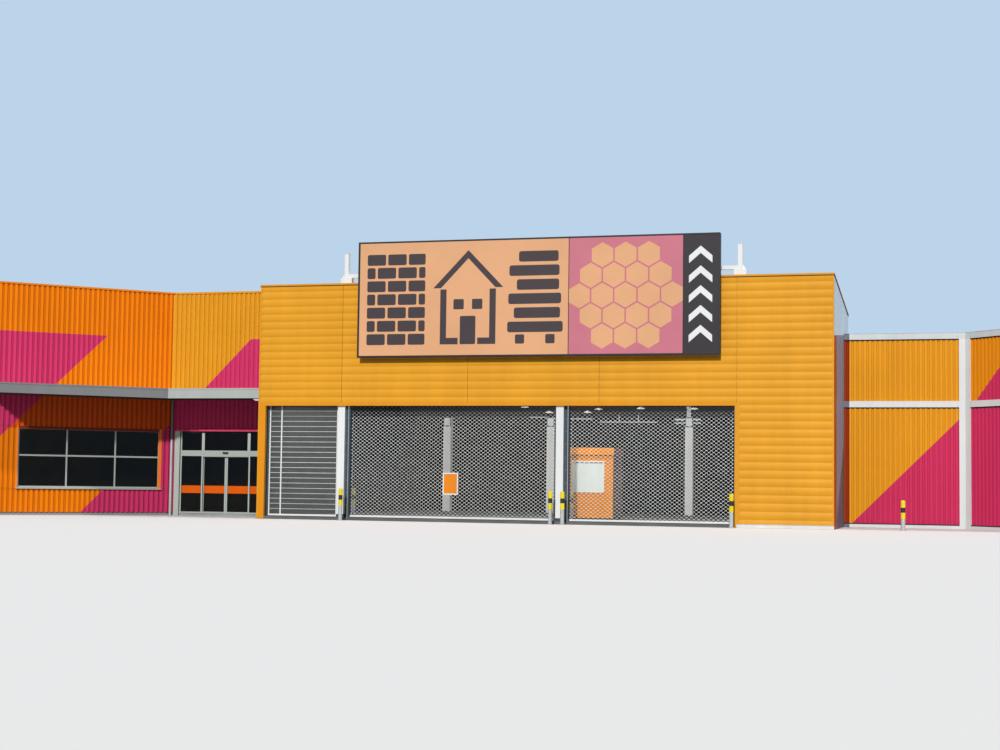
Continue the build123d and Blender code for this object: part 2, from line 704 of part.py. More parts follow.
# Sign supports: rails between sign and wall, posts on the wall top, and a beam behind
with BuildPart() as sign_supports:
    rail_step = (SIGN_RIGHT - SIGN_LEFT) / SIGN_RAILS
    for number in range(SIGN_RAILS):
        left = SIGN_LEFT + rail_step * (number + 0.5) - SIGN_RAIL_WIDTH / 2
        along = (left, left + SIGN_RAIL_WIDTH)
        wall_top = PORTAL_HEIGHT - CAP_HEIGHT - CAP_OVERHANG
        block(front_face, along, (SIGN_BACK, 0), (SIGN_BOTTOM + SIGN_FRAME, wall_top))
        above = (PORTAL_HEIGHT, SIGN_TOP - SIGN_FRAME)
        block(front_face, along, (SIGN_BACK, SKIN), above)
    foot_length, foot_depth, foot_height = SIGN_FOOT_SIZE
    for place in (SIGN_POST_LEFT, SIGN_POST_RIGHT):
        foot_along = (place - foot_length / 2, place + foot_length / 2)
        foot_top = PORTAL_HEIGHT + foot_height
        foot_inward = (WALL - foot_depth, WALL)
        block(front_face, foot_along, foot_inward, (PORTAL_HEIGHT, foot_top))
        post_along = (place - SIGN_POST_SIZE / 2, place + SIGN_POST_SIZE / 2)
        post_inward = (SKIN, SKIN + SIGN_POST_SIZE)
        block(front_face, post_along, post_inward, (foot_top, SIGN_POST_TOP))
    beam = (SIGN_BEAM_BOTTOM, SIGN_BEAM_BOTTOM + SIGN_POST_SIZE)
    block(front_face, (SIGN_POST_LEFT, SIGN_POST_RIGHT), (SKIN, SKIN + SIGN_POST_SIZE), beam)
finish(sign_supports, "sign_supports")

# Plan of the store wing, anticlockwise from the portal's side
STORE_PLAN = [
    (STORE_RIGHT, STORE_Y),
    (STORE_RIGHT, BACK),
    (RETURN_X, BACK),
    (RETURN_X, RETURN_Y),
    (ANGLED_X, ANGLED_Y),
    (STORE_CORNER_X, STORE_Y),
]
RIGHT_FRONT, RIGHT_BACK, LEFT_BACK, LEFT_FRONT, ANGLED_END, STORE_CORNER = range(6)


def store_outline(depth):
    """Inside outline of the store at a depth behind its faces, closed on the portal's side."""
    corners = inset(STORE_PLAN, depth)
    corners[RIGHT_FRONT] = (STORE_RIGHT, corners[RIGHT_FRONT][1])
    corners[RIGHT_BACK] = (STORE_RIGHT, corners[RIGHT_BACK][1])
    return corners


def store_wall(first, second, outer, inner, heights):
    """Add a mitred stretch of the store's wall between two corners of its plan."""
    outside = store_outline(outer)
    inside = store_outline(inner)
    prism(ground, [outside[first], outside[second], inside[second], inside[first]], heights)


STORE_CORE_TOP = STORE_HEIGHT - CAP_HEIGHT

with BuildPart() as store_floor:
    prism(ground, store_outline(WALL), (0, FLOOR_THICKNESS))
    threshold = (STOREFRONT_POST[1], STORE_FACE + PANEL)
    block(store_face, threshold, (SKIN, WALL), (0, FLOOR_THICKNESS))
finish(store_floor, "store_floor")

with BuildPart() as store_roof:
    prism(ground, store_outline(WALL), (STORE_ROOF_TOP - ROOF_THICKNESS, STORE_ROOF_TOP))
finish(store_roof, "store_roof")

# Front wall over the storefront
with BuildPart() as store_front_wall:
    store_wall(STORE_CORNER, RIGHT_FRONT, SKIN, WALL, (STOREFRONT_HEAD, STORE_CORE_TOP))
finish(store_front_wall, "store_front_wall")

# Angled wall: bands under and over the window, piers beside it and beside the storefront
with BuildPart() as angled_wall_bands:
    store_wall(ANGLED_END, STORE_CORNER, SKIN, WALL, (0, WINDOW_BOTTOM))
    store_wall(ANGLED_END, STORE_CORNER, SKIN, WALL, (WINDOW_TOP, STORE_CORE_TOP))
finish(angled_wall_bands, "angled_wall_bands")

with BuildPart() as angled_wall_piers:
    heights = (WINDOW_BOTTOM, WINDOW_TOP)
    outer_pier = [(SKIN, SKIN), (WINDOW_START, SKIN), (WINDOW_START, WALL), (WALL, WALL)]
    inner_pier = [
        (WINDOW_END, SKIN),
        (STORE_ANGLED + SKIN * MITRE, SKIN),
        (STORE_ANGLED + WALL * MITRE, WALL),
        (WINDOW_END, WALL),
    ]
    prism(angled_face, outer_pier, heights)
    prism(angled_face, inner_pier, heights)
finish(angled_wall_piers, "angled_wall_piers")

with BuildPart() as corner_pier:
    outline = [
        (-SKIN * MITRE, SKIN),
        (STOREFRONT_POST[0], SKIN),
        (STOREFRONT_POST[0], WALL),
        (-WALL * MITRE, WALL),
    ]
    prism(store_face, outline, (0, STOREFRONT_HEAD))
finish(corner_pier, "corner_pier")

with BuildPart() as store_end_wall:
    store_wall(LEFT_FRONT, ANGLED_END, SKIN, WALL, (0, STORE_CORE_TOP))
    store_wall(LEFT_BACK, LEFT_FRONT, SKIN, WALL, (0, STORE_CORE_TOP))
finish(store_end_wall, "store_end_wall")

with BuildPart() as store_rear_wall:
    store_wall(RIGHT_BACK, LEFT_BACK, SKIN, WALL, (0, STORE_CORE_TOP))
finish(store_rear_wall, "store_rear_wall")

# Ribbed sheets of the store's front: the straight face, then the angled face
with BuildPart() as store_cladding:
    head = STOREFRONT_HEAD + FRAME_WIDTH
    whole = (0, STORE_FACE + PANEL)
    beside = (0, STOREFRONT_POST[0])
    upright_ribs(store_face, whole, (head, STORE_CORE_TOP), WALL_RIB_PITCH, 0, SKIN)
    upright_ribs(store_face, beside, (WALL_BASE, head - JOINT_GAP), WALL_RIB_PITCH, 0, SKIN)
finish(store_cladding, "store_cladding")

with BuildPart() as angled_cladding:
    window_low = WINDOW_BOTTOM - FRAME_WIDTH
    window_high = WINDOW_TOP + FRAME_WIDTH
    pieces = (
        ((0, STORE_ANGLED), (window_high, STORE_CORE_TOP)),
        ((0, STORE_ANGLED), (WALL_BASE, window_low)),
        ((0, WINDOW_START - FRAME_WIDTH), (window_low + JOINT_GAP, window_high - JOINT_GAP)),
        (
            (WINDOW_END + FRAME_WIDTH, STORE_ANGLED),
            (window_low + JOINT_GAP, window_high - JOINT_GAP),
        ),
    )
    for along, heights in pieces:
        upright_ribs(angled_face, along, heights, WALL_RIB_PITCH, 0, SKIN)
finish(angled_cladding, "angled_cladding")

# Ribbed sheets of the end return, end wall and rear wall
with BuildPart() as store_end_cladding:
    return_face = Plane(origin=(RETURN_X, RETURN_Y, 0), x_dir=(1, -1, 0), z_dir=(0, 0, 1))
    end_face = Plane(origin=(RETURN_X, BACK, 0), x_dir=(0, -1, 0), z_dir=(0, 0, 1))
    rear_face = Plane(origin=(STORE_RIGHT, BACK, 0), x_dir=(-1, 0, 0), z_dir=(0, 0, 1))
    tall = (WALL_BASE, STORE_CORE_TOP)
    end_length = BACK - RETURN_Y
    rear_length = STORE_RIGHT - RETURN_X
    return_span = (SKIN * MITRE, STORE_END_RETURN - SKIN)
    upright_ribs(return_face, return_span, tall, REAR_RIB_PITCH, 0, SKIN)
    upright_ribs(end_face, (SKIN, end_length - SKIN * MITRE), tall, REAR_RIB_PITCH, 0, SKIN)
    upright_ribs(rear_face, (0, rear_length - SKIN), tall, REAR_RIB_PITCH, 0, SKIN)
finish(store_end_cladding, "store_end_cladding")

# Flashing along the top of the store's walls
with BuildPart() as store_caps:
    walls = (
        (STORE_CORNER, RIGHT_FRONT),
        (ANGLED_END, STORE_CORNER),
        (LEFT_FRONT, ANGLED_END),
        (LEFT_BACK, LEFT_FRONT),
        (RIGHT_BACK, LEFT_BACK),
    )
    for first, second in walls:
        store_wall(first, second, -CAP_OVERHANG, WALL, (STORE_CORE_TOP, STORE_HEIGHT))
    block(
        front_face,
        (STORE_RIGHT, -HALF + WALL),
        (STORE_SETBACK, HALL_DEPTH),
        (STORE_CORE_TOP, STORE_HEIGHT),
    )
finish(store_caps, "store_caps")

# Canopy: a deck against both faces of the store, with a fascia along its front edge
CANOPY_OUT = -CANOPY_DEPTH
FASCIA_IN = CANOPY_OUT + CANOPY_FASCIA


def canopy_strip(outer, inner, heights):
    """Add a strip along both faces of the store between two depths, mitred at the corner."""
    prism(
        store_face,
        [
            (-outer * MITRE, outer),
            (STORE_FACE, outer),
            (STORE_FACE, inner),
            (-inner * MITRE, inner),
        ],
        heights,
    )
    prism(
        angled_face,
        [
            (0, outer),
            (STORE_ANGLED + outer * MITRE, outer),
            (STORE_ANGLED + inner * MITRE, inner),
            (0, inner),
        ],
        heights,
    )


with BuildPart() as canopy:
    deck_bottom = CANOPY_BOTTOM + (CANOPY_HEIGHT - CANOPY_DECK) / 2
    canopy_strip(FASCIA_IN, 0, (deck_bottom, deck_bottom + CANOPY_DECK))
finish(canopy, "canopy")

with BuildPart() as canopy_fascia:
    canopy_strip(CANOPY_OUT, FASCIA_IN, (CANOPY_BOTTOM, CANOPY_BOTTOM + CANOPY_HEIGHT))
finish(canopy_fascia, "canopy_fascia")

# Downpipe in the corner of the two faces, from the canopy to the ground
with BuildPart() as downpipe:
    pipe_radius = DOWNPIPE_DIAMETER / 2
    pipe_out = pipe_radius + SEAT_GAP
    with BuildSketch(ground):
        with Locations((STORE_CORNER_X + pipe_out * MITRE, STORE_Y - pipe_out)):
            Circle(pipe_radius)
    extrude(amount=deck_bottom)
finish(downpipe, "downpipe")

# Window of the angled wall: frame with mullions and a transom, one sheet of glass a pane
WINDOW_XS = [WINDOW_START, *WINDOW_MULLIONS, WINDOW_END]
WINDOW_ZS = [WINDOW_BOTTOM, WINDOW_TRANSOM, WINDOW_TOP]


def pane_rectangles(xs, zs, bar):
    """Clear panes (centre x, centre z, width, height) between frame and mullion lines."""
    panes = []
    for left, right in zip(xs, xs[1:]):
        for low, high in zip(zs, zs[1:]):
            x0 = left + (bar if left == xs[0] else bar / 2)
            x1 = right - (bar if right == xs[-1] else bar / 2)
            z0 = low + (bar if low == zs[0] else bar / 2)
            z1 = high - (bar if high == zs[-1] else bar / 2)
            panes.append(((x0 + x1) / 2, (z0 + z1) / 2, x1 - x0, z1 - z0))
    return panes


def upright_plane(plane, inward):
    """Upright plane parallel to a wall's face; its normal points out of the building."""
    origin = plane.from_local_coords((0, inward, 0))
    return Plane(origin=origin, x_dir=plane.x_dir, z_dir=-plane.y_dir)


def frame_grid(plane, inward, xs, zs, bar, depth):
    """Add a frame with mullions and transoms; its front face is at a depth inward."""
    with BuildSketch(upright_plane(plane, inward)) as grid:
        with Locations(((xs[0] + xs[-1]) / 2, (zs[0] + zs[-1]) / 2)):
            Rectangle(xs[-1] - xs[0], zs[-1] - zs[0])
        for x, z, width, height in pane_rectangles(xs, zs, bar):
            with Locations((x, z)):
                Rectangle(width, height, mode=Mode.SUBTRACT)
    extrude(grid.sketch, amount=-depth)


def glass_grid(plane, inward, xs, zs, bar):
    """Add one sheet of glass in each pane."""
    with BuildSketch(upright_plane(plane, inward)) as panes:
        for x, z, width, height in pane_rectangles(xs, zs, bar):
            with Locations((x, z)):
                Rectangle(width, height)
    extrude(panes.sketch, amount=-GLASS_THICKNESS)


WINDOW_IN = SKIN + PANEL
GLASS_IN = WINDOW_IN + (FRAME_DEPTH - GLASS_THICKNESS) / 2

with BuildPart() as window_frame:
    frame_grid(angled_face, WINDOW_IN, WINDOW_XS, WINDOW_ZS, FRAME_WIDTH, FRAME_DEPTH)
finish(window_frame, "window_frame")

with BuildPart() as window_glass:
    glass_grid(angled_face, GLASS_IN, WINDOW_XS, WINDOW_ZS, FRAME_WIDTH)
finish(window_glass, "window_glass")

# Storefront: post, fixed lights beside the doorway and top lights over it
FRONT_START = STOREFRONT_POST[1]
FRONT_END = STORE_FACE + PANEL
SIDE_ZS = [FLOOR_THICKNESS, OPERATOR_BOTTOM, STOREFRONT_HEAD]
TOP_ZS = [OPERATOR_BOTTOM, STOREFRONT_HEAD]

with BuildPart() as storefront_frame:
    front_bar = FRAME_WIDTH
    start_lights = [FRONT_START, DOORWAY_START]
    end_lights = [DOORWAY_END, FRONT_END]
    top_lights = [DOORWAY_START, DOORWAY_END]
    frame_grid(store_face, WINDOW_IN, start_lights, SIDE_ZS, front_bar, FRAME_DEPTH)
    frame_grid(store_face, WINDOW_IN, end_lights, SIDE_ZS, front_bar, FRAME_DEPTH)
    frame_grid(store_face, WINDOW_IN, top_lights, TOP_ZS, front_bar, FRAME_DEPTH)
    block(store_face, STOREFRONT_POST, (0, WALL), (0, STOREFRONT_HEAD))
finish(storefront_frame, "storefront_frame")

with BuildPart() as storefront_glass:
    glass_grid(store_face, GLASS_IN, start_lights, SIDE_ZS, front_bar)
    glass_grid(store_face, GLASS_IN, end_lights, SIDE_ZS, front_bar)
    glass_grid(store_face, GLASS_IN, top_lights, TOP_ZS, front_bar)
finish(storefront_glass, "storefront_glass")

# Door operator over the doorway, with the track that the sliding leaves hang from
OPERATOR_IN = WINDOW_IN + FRAME_DEPTH
OPERATOR_BACK = OPERATOR_IN + OPERATOR_DEPTH
TRACK_TOP = OPERATOR_TOP - TRACK_SIZE
TRACK_ALONG = (FRONT_START, FRONT_END - FRAME_WIDTH)

with BuildPart() as door_operator:
    block(store_face, TRACK_ALONG, (OPERATOR_IN, OPERATOR_BACK), (OPERATOR_BOTTOM, OPERATOR_TOP))
    block(
        store_face,
        TRACK_ALONG,
        (OPERATOR_BACK, OPERATOR_BACK + TRACK_SIZE),
        (TRACK_TOP - TRACK_SIZE, TRACK_TOP),
    )
finish(door_operator, "door_operator")

LEAF_IN = OPERATOR_IN + RUNNING_GAP
LEAF_BOTTOM = FLOOR_THICKNESS + FLOOR_CLEARANCE
LEAF_TOP = OPERATOR_BOTTOM - RUNNING_GAP
DOOR_MIDDLE = (DOORWAY_START + DOORWAY_END) / 2
HANGER_IN = OPERATOR_BACK + TRACK_SIZE + RUNNING_GAP


def door_leaf(start, end):
    """Add a sliding leaf: stiles and rails, and two hangers hooked over the track."""
    xs = [start, end]
    zs = [LEAF_BOTTOM, LEAF_TOP]
    frame_grid(store_face, LEAF_IN, xs, zs, LEAF_STILE, LEAF_THICKNESS)
    for centre in (start + 2 * HANGER_WIDTH, end - 2 * HANGER_WIDTH):
        along = (centre - HANGER_WIDTH / 2, centre + HANGER_WIDTH / 2)
        outside = HANGER_IN + HANGER_SIZE
        hook_bottom = TRACK_TOP + SEAT_GAP
        hook_top = hook_bottom + HANGER_SIZE
        shelf = (LEAF_TOP - HANGER_SIZE, LEAF_TOP)
        block(store_face, along, (LEAF_IN + LEAF_THICKNESS, outside), shelf)
        block(store_face, along, (HANGER_IN, outside), (LEAF_TOP - HANGER_SIZE, hook_top))
        block(store_face, along, (OPERATOR_BACK + RUNNING_GAP, outside), (hook_bottom, hook_top))


def leaf_glass(start, end):
    """Add the glass of a sliding leaf."""
    inward = LEAF_IN + (LEAF_THICKNESS - LEAF_GLASS) / 2
    block(
        store_face,
        (start + LEAF_STILE, end - LEAF_STILE),
        (inward, inward + LEAF_GLASS),
        (LEAF_BOTTOM + LEAF_STILE, LEAF_TOP - LEAF_STILE),
    )


LEFT_LEAF = (DOORWAY_START - LEAF_LAP, DOOR_MIDDLE - RUNNING_GAP / 2)
RIGHT_LEAF = (DOOR_MIDDLE + RUNNING_GAP / 2, DOORWAY_END + LEAF_LAP)

with BuildPart() as door_leaf_left:
    door_leaf(*LEFT_LEAF)
finish(door_leaf_left, "door_leaf_left")

with BuildPart() as door_glass_left:
    leaf_glass(*LEFT_LEAF)
finish(door_glass_left, "door_glass_left")

with BuildPart() as door_leaf_right:
    door_leaf(*RIGHT_LEAF)
finish(door_leaf_right, "door_leaf_right")

with BuildPart() as door_glass_right:
    leaf_glass(*RIGHT_LEAF)
finish(door_glass_right, "door_glass_right")

# Yard wall: posts and beams, with two ribbed panels in each bay; it starts at the portal's side
YARD_BEAMS = ((0, WALL_BASE), YARD_MIDDLE_BEAM, (YARD_HEIGHT - YARD_TOP_BEAM, YARD_HEIGHT))
PANEL_RANGE = (YARD_PANEL_SETBACK, YARD_PANEL_SETBACK + YARD_PANEL_THICKNESS)
YARD_BAYS = (
    (yard_face, (0, YARD_FACE - YARD_POST_WIDTH)),
    (yard_angled_face, (YARD_POST_WIDTH, YARD_ANGLED - YARD_POST_WIDTH)),
)

with BuildPart() as yard_wall_frame:
    corner_post = [
        (-YARD_POST_WIDTH, 0),
        (0, 0),
        (YARD_FRAME * MITRE, YARD_FRAME),
        (-YARD_POST_WIDTH, YARD_FRAME),
    ]
    near_post = [
        (0, 0),
        (YARD_POST_WIDTH, 0),
        (YARD_POST_WIDTH, YARD_FRAME),
        (-YARD_FRAME * MITRE, YARD_FRAME),
    ]
    tall = (0, YARD_HEIGHT)
    prism(Plane(yard_angled_face.origin), corner_post, tall)
    prism(yard_angled_face, near_post, tall)
    last_post = (YARD_ANGLED - YARD_POST_WIDTH, YARD_ANGLED)
    block(yard_angled_face, last_post, (0, YARD_FRAME), tall)
    for plane, along in YARD_BAYS:
        for beam in YARD_BEAMS:
            block(plane, along, (0, YARD_FRAME), beam)
finish(yard_wall_frame, "yard_wall_frame")

with BuildPart() as yard_wall_panels:
    lower = (WALL_BASE, YARD_MIDDLE_BEAM[0])
    upper = (YARD_MIDDLE_BEAM[1], YARD_HEIGHT - YARD_TOP_BEAM)
    for plane, along in YARD_BAYS:
        for heights in (lower, upper):
            upright_ribs(plane, along, heights, YARD_RIB_PITCH, *PANEL_RANGE)
finish(yard_wall_panels, "yard_wall_panels")
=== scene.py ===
from math import cos, pi, radians, sin, tan
import bmesh
import bpy
from mathutils import Matrix, Vector


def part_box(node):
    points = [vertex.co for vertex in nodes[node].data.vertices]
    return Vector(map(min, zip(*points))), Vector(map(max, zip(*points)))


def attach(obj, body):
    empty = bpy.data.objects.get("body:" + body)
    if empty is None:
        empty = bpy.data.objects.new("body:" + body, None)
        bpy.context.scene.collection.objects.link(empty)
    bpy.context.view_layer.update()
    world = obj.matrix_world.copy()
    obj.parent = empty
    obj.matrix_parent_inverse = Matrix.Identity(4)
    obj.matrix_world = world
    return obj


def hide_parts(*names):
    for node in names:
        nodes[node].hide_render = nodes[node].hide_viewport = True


# Home improvement store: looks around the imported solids, in metres, in their frame.
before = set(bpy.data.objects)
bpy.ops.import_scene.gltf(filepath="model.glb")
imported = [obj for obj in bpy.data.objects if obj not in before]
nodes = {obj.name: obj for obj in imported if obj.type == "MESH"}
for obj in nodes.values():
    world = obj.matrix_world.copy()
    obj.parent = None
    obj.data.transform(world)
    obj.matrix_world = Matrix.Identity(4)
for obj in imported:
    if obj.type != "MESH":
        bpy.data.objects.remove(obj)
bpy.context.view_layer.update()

FRONT = -9.0
BACK = 9.0
HALF = 10.9
WALL = 0.3
INNER = 10.6
FLOOR = 0.1
BASE = 0.12
LINTEL = 4.32
HALL_DEPTH = 18.0
HALL_HEIGHT = 6.62
HALL_REAR = 17.7
PORTAL_HEIGHT = 8.99
PORTAL_REAR_HEIGHT = 8.14
PORTAL_DEPTH = 6.2
STORE_FACE = 4.76
STORE_ANGLED = 7.41
STORE_HEIGHT = 9.02
STORE_ROOF_TOP = 8.42
STORE_HEAD = 3.39
STORE_CORNER = (-15.66, -6.8, 0)
YARD_FACE = 4.37
YARD_ANGLED = 4.4
YARD_END = 4.38
YARD_HEIGHT = 7.19
CAP = 0.07
OVERHANG = 0.02
MITRE = tan(radians(22.5))
RIGHT, LEFT = (1, 0, 0), (-1, 0, 0)
UP, DOWN = (0, 0, 1), (0, 0, -1)
IN, OUT = (0, 1, 0), (0, -1, 0)


# ---- shapes ----
class Wall:
    """A wall's own axes: t along it, d into the building from its face, z up."""

    def __init__(self, origin, along):
        self.origin = Vector(origin)
        self.along = Vector(along).normalized()
        self.inward = Vector((-self.along.y, self.along.x, 0))

    def point(self, t, d, z):
        return self.origin + self.along * t + self.inward * d + Vector((0, 0, z))


front = Wall((0, FRONT, 0), RIGHT)
rear = Wall((0, BACK, 0), LEFT)
portal_rear = Wall((0, FRONT + PORTAL_DEPTH, 0), LEFT)
hall_right = Wall((HALF, FRONT, 0), IN)
store = Wall(STORE_CORNER, RIGHT)
angled = Wall(Vector(STORE_CORNER) - Vector((1, 1, 0)).normalized() * STORE_ANGLED, (1, 1, 0))
yard = Wall((HALF, -4.8, 0), RIGHT)
yard_angled = Wall((HALF + YARD_FACE, -4.8, 0), (1, -1, 0))


def about(middle, half):
    """The range that reaches half a width to each side of a middle."""
    return middle - half, middle + half


class Shapes:
    """The vertices and faces of one piece, added shape by shape."""

    def __init__(self):
        self.vertices = []
        self.faces = []

    def add(self, vertices, faces):
        start = len(self.vertices)
        self.vertices.extend(vertices)
        self.faces.extend(tuple(start + index for index in face) for face in faces)

    def loft(self, rings):
        """Join rings of equally many points, and close both ends."""
        count = len(rings[0])
        faces = [tuple(reversed(range(count)))]
        for ring in range(len(rings) - 1):
            low = ring * count
            for here in range(count):
                after = (here + 1) % count
                faces.append((low + here, low + after, low + count + after, low + count + here))
        last = (len(rings) - 1) * count
        faces.append(tuple(range(last, last + count)))
        self.add([point for ring in rings for point in ring], faces)

    def block(self, wall, along, inward, heights):
        """A block: its ranges along the wall, into the building and above ground."""
        (left, right), (near, far) = along, inward
        self.prism(wall, [(left, near), (right, near), (right, far), (left, far)], heights)

    def prism(self, wall, outline, heights):
        """An upright prism on an outline of (along, inward) points."""
        self.loft([[wall.point(t, d, z) for t, d in outline] for z in heights])

    def plate(self, wall, outline, inward):
        """A plate parallel to the wall, from an outline of (along, height) points."""
        self.loft([[wall.point(t, d, z) for t, z in outline] for d in inward])

    def bar(self, wall, along, outline):
        """A bar along the wall, with an outline of (inward, height) points."""
        self.loft([[wall.point(t, d, z) for d, z in outline] for t in along])

    def turned(self, centre, profile, sides, axis=UP):
        """A turned shape: (distance along the axis, radius) points round a centre."""
        axis = Vector(axis).normalized()
        side = axis.orthogonal().normalized()
        other = axis.cross(side)
        turns = [2 * pi * n / sides for n in range(sides)]
        spokes = [side * cos(turn) + other * sin(turn) for turn in turns]
        centre = Vector(centre)
        self.loft([[centre + axis * h + spoke * r for spoke in spokes] for h, r in profile])

    def screw(self, wall, t, d, z, radius):
        """A hexagonal screw head with its washer, on a face at depth d."""
        height = radius * 0.9
        profile = ((0, radius * 1.6), (height * 0.3, radius * 1.5), (height, radius))
        self.turned(wall.point(t, d, z), profile, 6, -wall.inward)

    def border(self, wall, along, heights, inward, width):
        """Four bars round a rectangle, inside its edges."""
        (left, right), (low, high) = along, heights
        self.block(wall, along, inward, (low, low + width))
        self.block(wall, along, inward, (high - width, high))
        self.block(wall, (left, left + width), inward, (low + width, high - width))
        self.block(wall, (right - width, right), inward, (low + width, high - width))


def steps(start, end, pitch):
    """Evenly spaced places between two ends, about a pitch apart, without the ends."""
    count = max(1, round((end - start) / pitch))
    return [start + (end - start) * n / count for n in range(1, count)]


def link(obj):
    bpy.context.scene.collection.objects.link(obj)


def make_piece(name, shapes, coat_name, slot=None, body="root", bevel=0.0, smooth=False):
    """Turn shapes into an object that rides on a body; its slot argument is not used."""
    mesh = bpy.data.meshes.new(name)
    mesh.from_pydata(shapes.vertices, [], shapes.faces)
    work = bmesh.new()
    work.from_mesh(mesh)
    bmesh.ops.recalc_face_normals(work, faces=work.faces)
    work.to_mesh(mesh)
    work.free()
    mesh.materials.append(coats[coat_name])
    obj = bpy.data.objects.new(name, mesh)
    link(obj)
    if smooth:
        mesh.shade_smooth()
    if bevel:
        edges = obj.modifiers.new("edges", "BEVEL")
        edges.width = bevel
        edges.segments = 2
        edges.limit_method = "ANGLE"
        edges.harden_normals = True
        mesh.shade_smooth()
    slot = slot or coat_name
    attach(obj, body)
    return obj


def block_piece(name, wall, blocks, coat_name, slot=None, body="root", bevel=0.0):
    """A piece that is made of blocks on one wall, each given by its three ranges."""
    shapes = Shapes()
    for ranges in blocks:
        shapes.block(wall, *ranges)
    make_piece(name, shapes, coat_name, slot, body, bevel)


# ---- materials ----
MIX_FACTOR, MIX_A, MIX_B, MIX_RESULT = 0, 6, 7, 2
NOISE_RANGE = (0.3, 0.7)
WHOLE_RANGE = (0, 1)
CLOUD_SCALE = 0.45
STREAK_SCALE = 2.2
STREAK_STRETCH = (1, 1, 0.06)
DUST_SCALE = 14.0
BUCKLE_SCALE = 1.3
PAINT_GRAIN = 160.0
PAINT_GRAIN_DEPTH = 0.0003
WEAR_RADIUS = 0.006
WORN_EDGE_MATCH = (0.82, 0.97)
FACING_MATCH = 0.9
CRYSTAL_SCALE = 34.0
PRINT_DOTS = 90.0
# Shares of the colour that are kept in ribbed sheets' grooves, as painted shade.
GROOVE_SHADE = 0.7
FAINT_GROOVES = 0.88

coats = {}


class Nodes:
    """A node tree, with short calls for the nodes in it."""

    def __init__(self, owner):
        owner.use_nodes = True
        self.tree = owner.node_tree

    def node(self, kind, inputs=(), **settings):
        made = self.tree.nodes.new(kind)
        for key, value in settings.items():
            setattr(made, key, value)
        for key, value in dict(inputs).items():
            self.feed(made.inputs[key], value)
        return made

    def feed(self, socket, value):
        if isinstance(value, bpy.types.NodeSocket):
            self.tree.links.new(value, socket)
        else:
            socket.default_value = value

    def ranged(self, value, low, high, source=NOISE_RANGE):
        values = {"Value": value, "From Min": source[0], "From Max": source[1]}
        values.update({"To Min": low, "To Max": high})
        return self.node("ShaderNodeMapRange", values).outputs["Result"]

    def math(self, operation, first, second):
        return self.node("ShaderNodeMath", {0: first, 1: second}, operation=operation).outputs[0]

    def dot(self, first, second):
        values = {0: first, 1: second}
        return self.node("ShaderNodeVectorMath", values, operation="DOT_PRODUCT").outputs["Value"]

    def mixed(self, factor, first, second):
        values = {MIX_FACTOR: factor, MIX_A: first, MIX_B: second}
        return self.node("ShaderNodeMix", values, data_type="RGBA").outputs[MIX_RESULT]

    def seen_rays(self):
        """1 for camera, glossy and transmission rays, and 0 for the light on surfaces."""
        path = self.node("ShaderNodeLightPath").outputs
        seen = self.math("MAXIMUM", path["Is Camera Ray"], path["Is Glossy Ray"])
        return self.math("MAXIMUM", seen, path["Is Transmission Ray"])


class Look(Nodes):
    """A material, kept among the coats under its name."""

    def __init__(self, name, metallic, specular):
        material = bpy.data.materials.new(name)
        super().__init__(material)
        coats[name] = material
        self.shader = self.tree.nodes["Principled BSDF"]
        self.give("Metallic", metallic)
        self.give("Specular IOR Level", specular)
        self.place = self.node("ShaderNodeTexCoord").outputs["Object"]

    def give(self, name, value):
        """Set one of the shader's own sockets, or link a node's output to it."""
        self.feed(self.shader.inputs[name], value)

    def noise(self, scale, detail=3.0, stretch=(1, 1, 1)):
        spread = self.node("ShaderNodeMapping", {"Vector": self.place, "Scale": stretch})
        values = {"Vector": spread.outputs["Vector"], "Scale": scale, "Detail": detail}
        return self.node("ShaderNodeTexNoise", values).outputs["Fac"]

    def scaled(self, colour, share):
        if not isinstance(colour, bpy.types.NodeSocket):
            colour = colour[:3]
        values = {0: colour, "Scale": share}
        return self.node("ShaderNodeVectorMath", values, operation="SCALE").outputs[0]

    def zoned(self, colour, zones):
        """A colour with other colours laid over it where their masks are 1."""
        base = (*colour, 1)
        for mask, other in zones:
            base = self.mixed(mask(self), base, (*other, 1))
        return base

    def flat_normal(self):
        return self.node("ShaderNodeNewGeometry").outputs["True Normal"]

    def edges(self, radius):
        """1 along the piece's own edges, fading to 0 within a radius."""
        rounded = self.node("ShaderNodeBevel", {"Radius": radius}, samples=4).outputs["Normal"]
        return self.ranged(self.dot(rounded, self.flat_normal()), 1.0, 0.0, source=WORN_EDGE_MATCH)

    def finish(self, colour, gloss, grain, grain_depth, buckle_depth):
        """Feed the shader, with a bump of fine grain over broad shallow buckles."""
        self.give("Base Color", colour)
        self.give("Roughness", gloss)
        fine = self.node("ShaderNodeBump", {"Height": grain, "Distance": grain_depth})
        values = {"Height": self.noise(BUCKLE_SCALE, 1.0), "Distance": buckle_depth}
        values["Normal"] = fine.outputs["Normal"]
        self.give("Normal", self.node("ShaderNodeBump", values).outputs["Normal"])


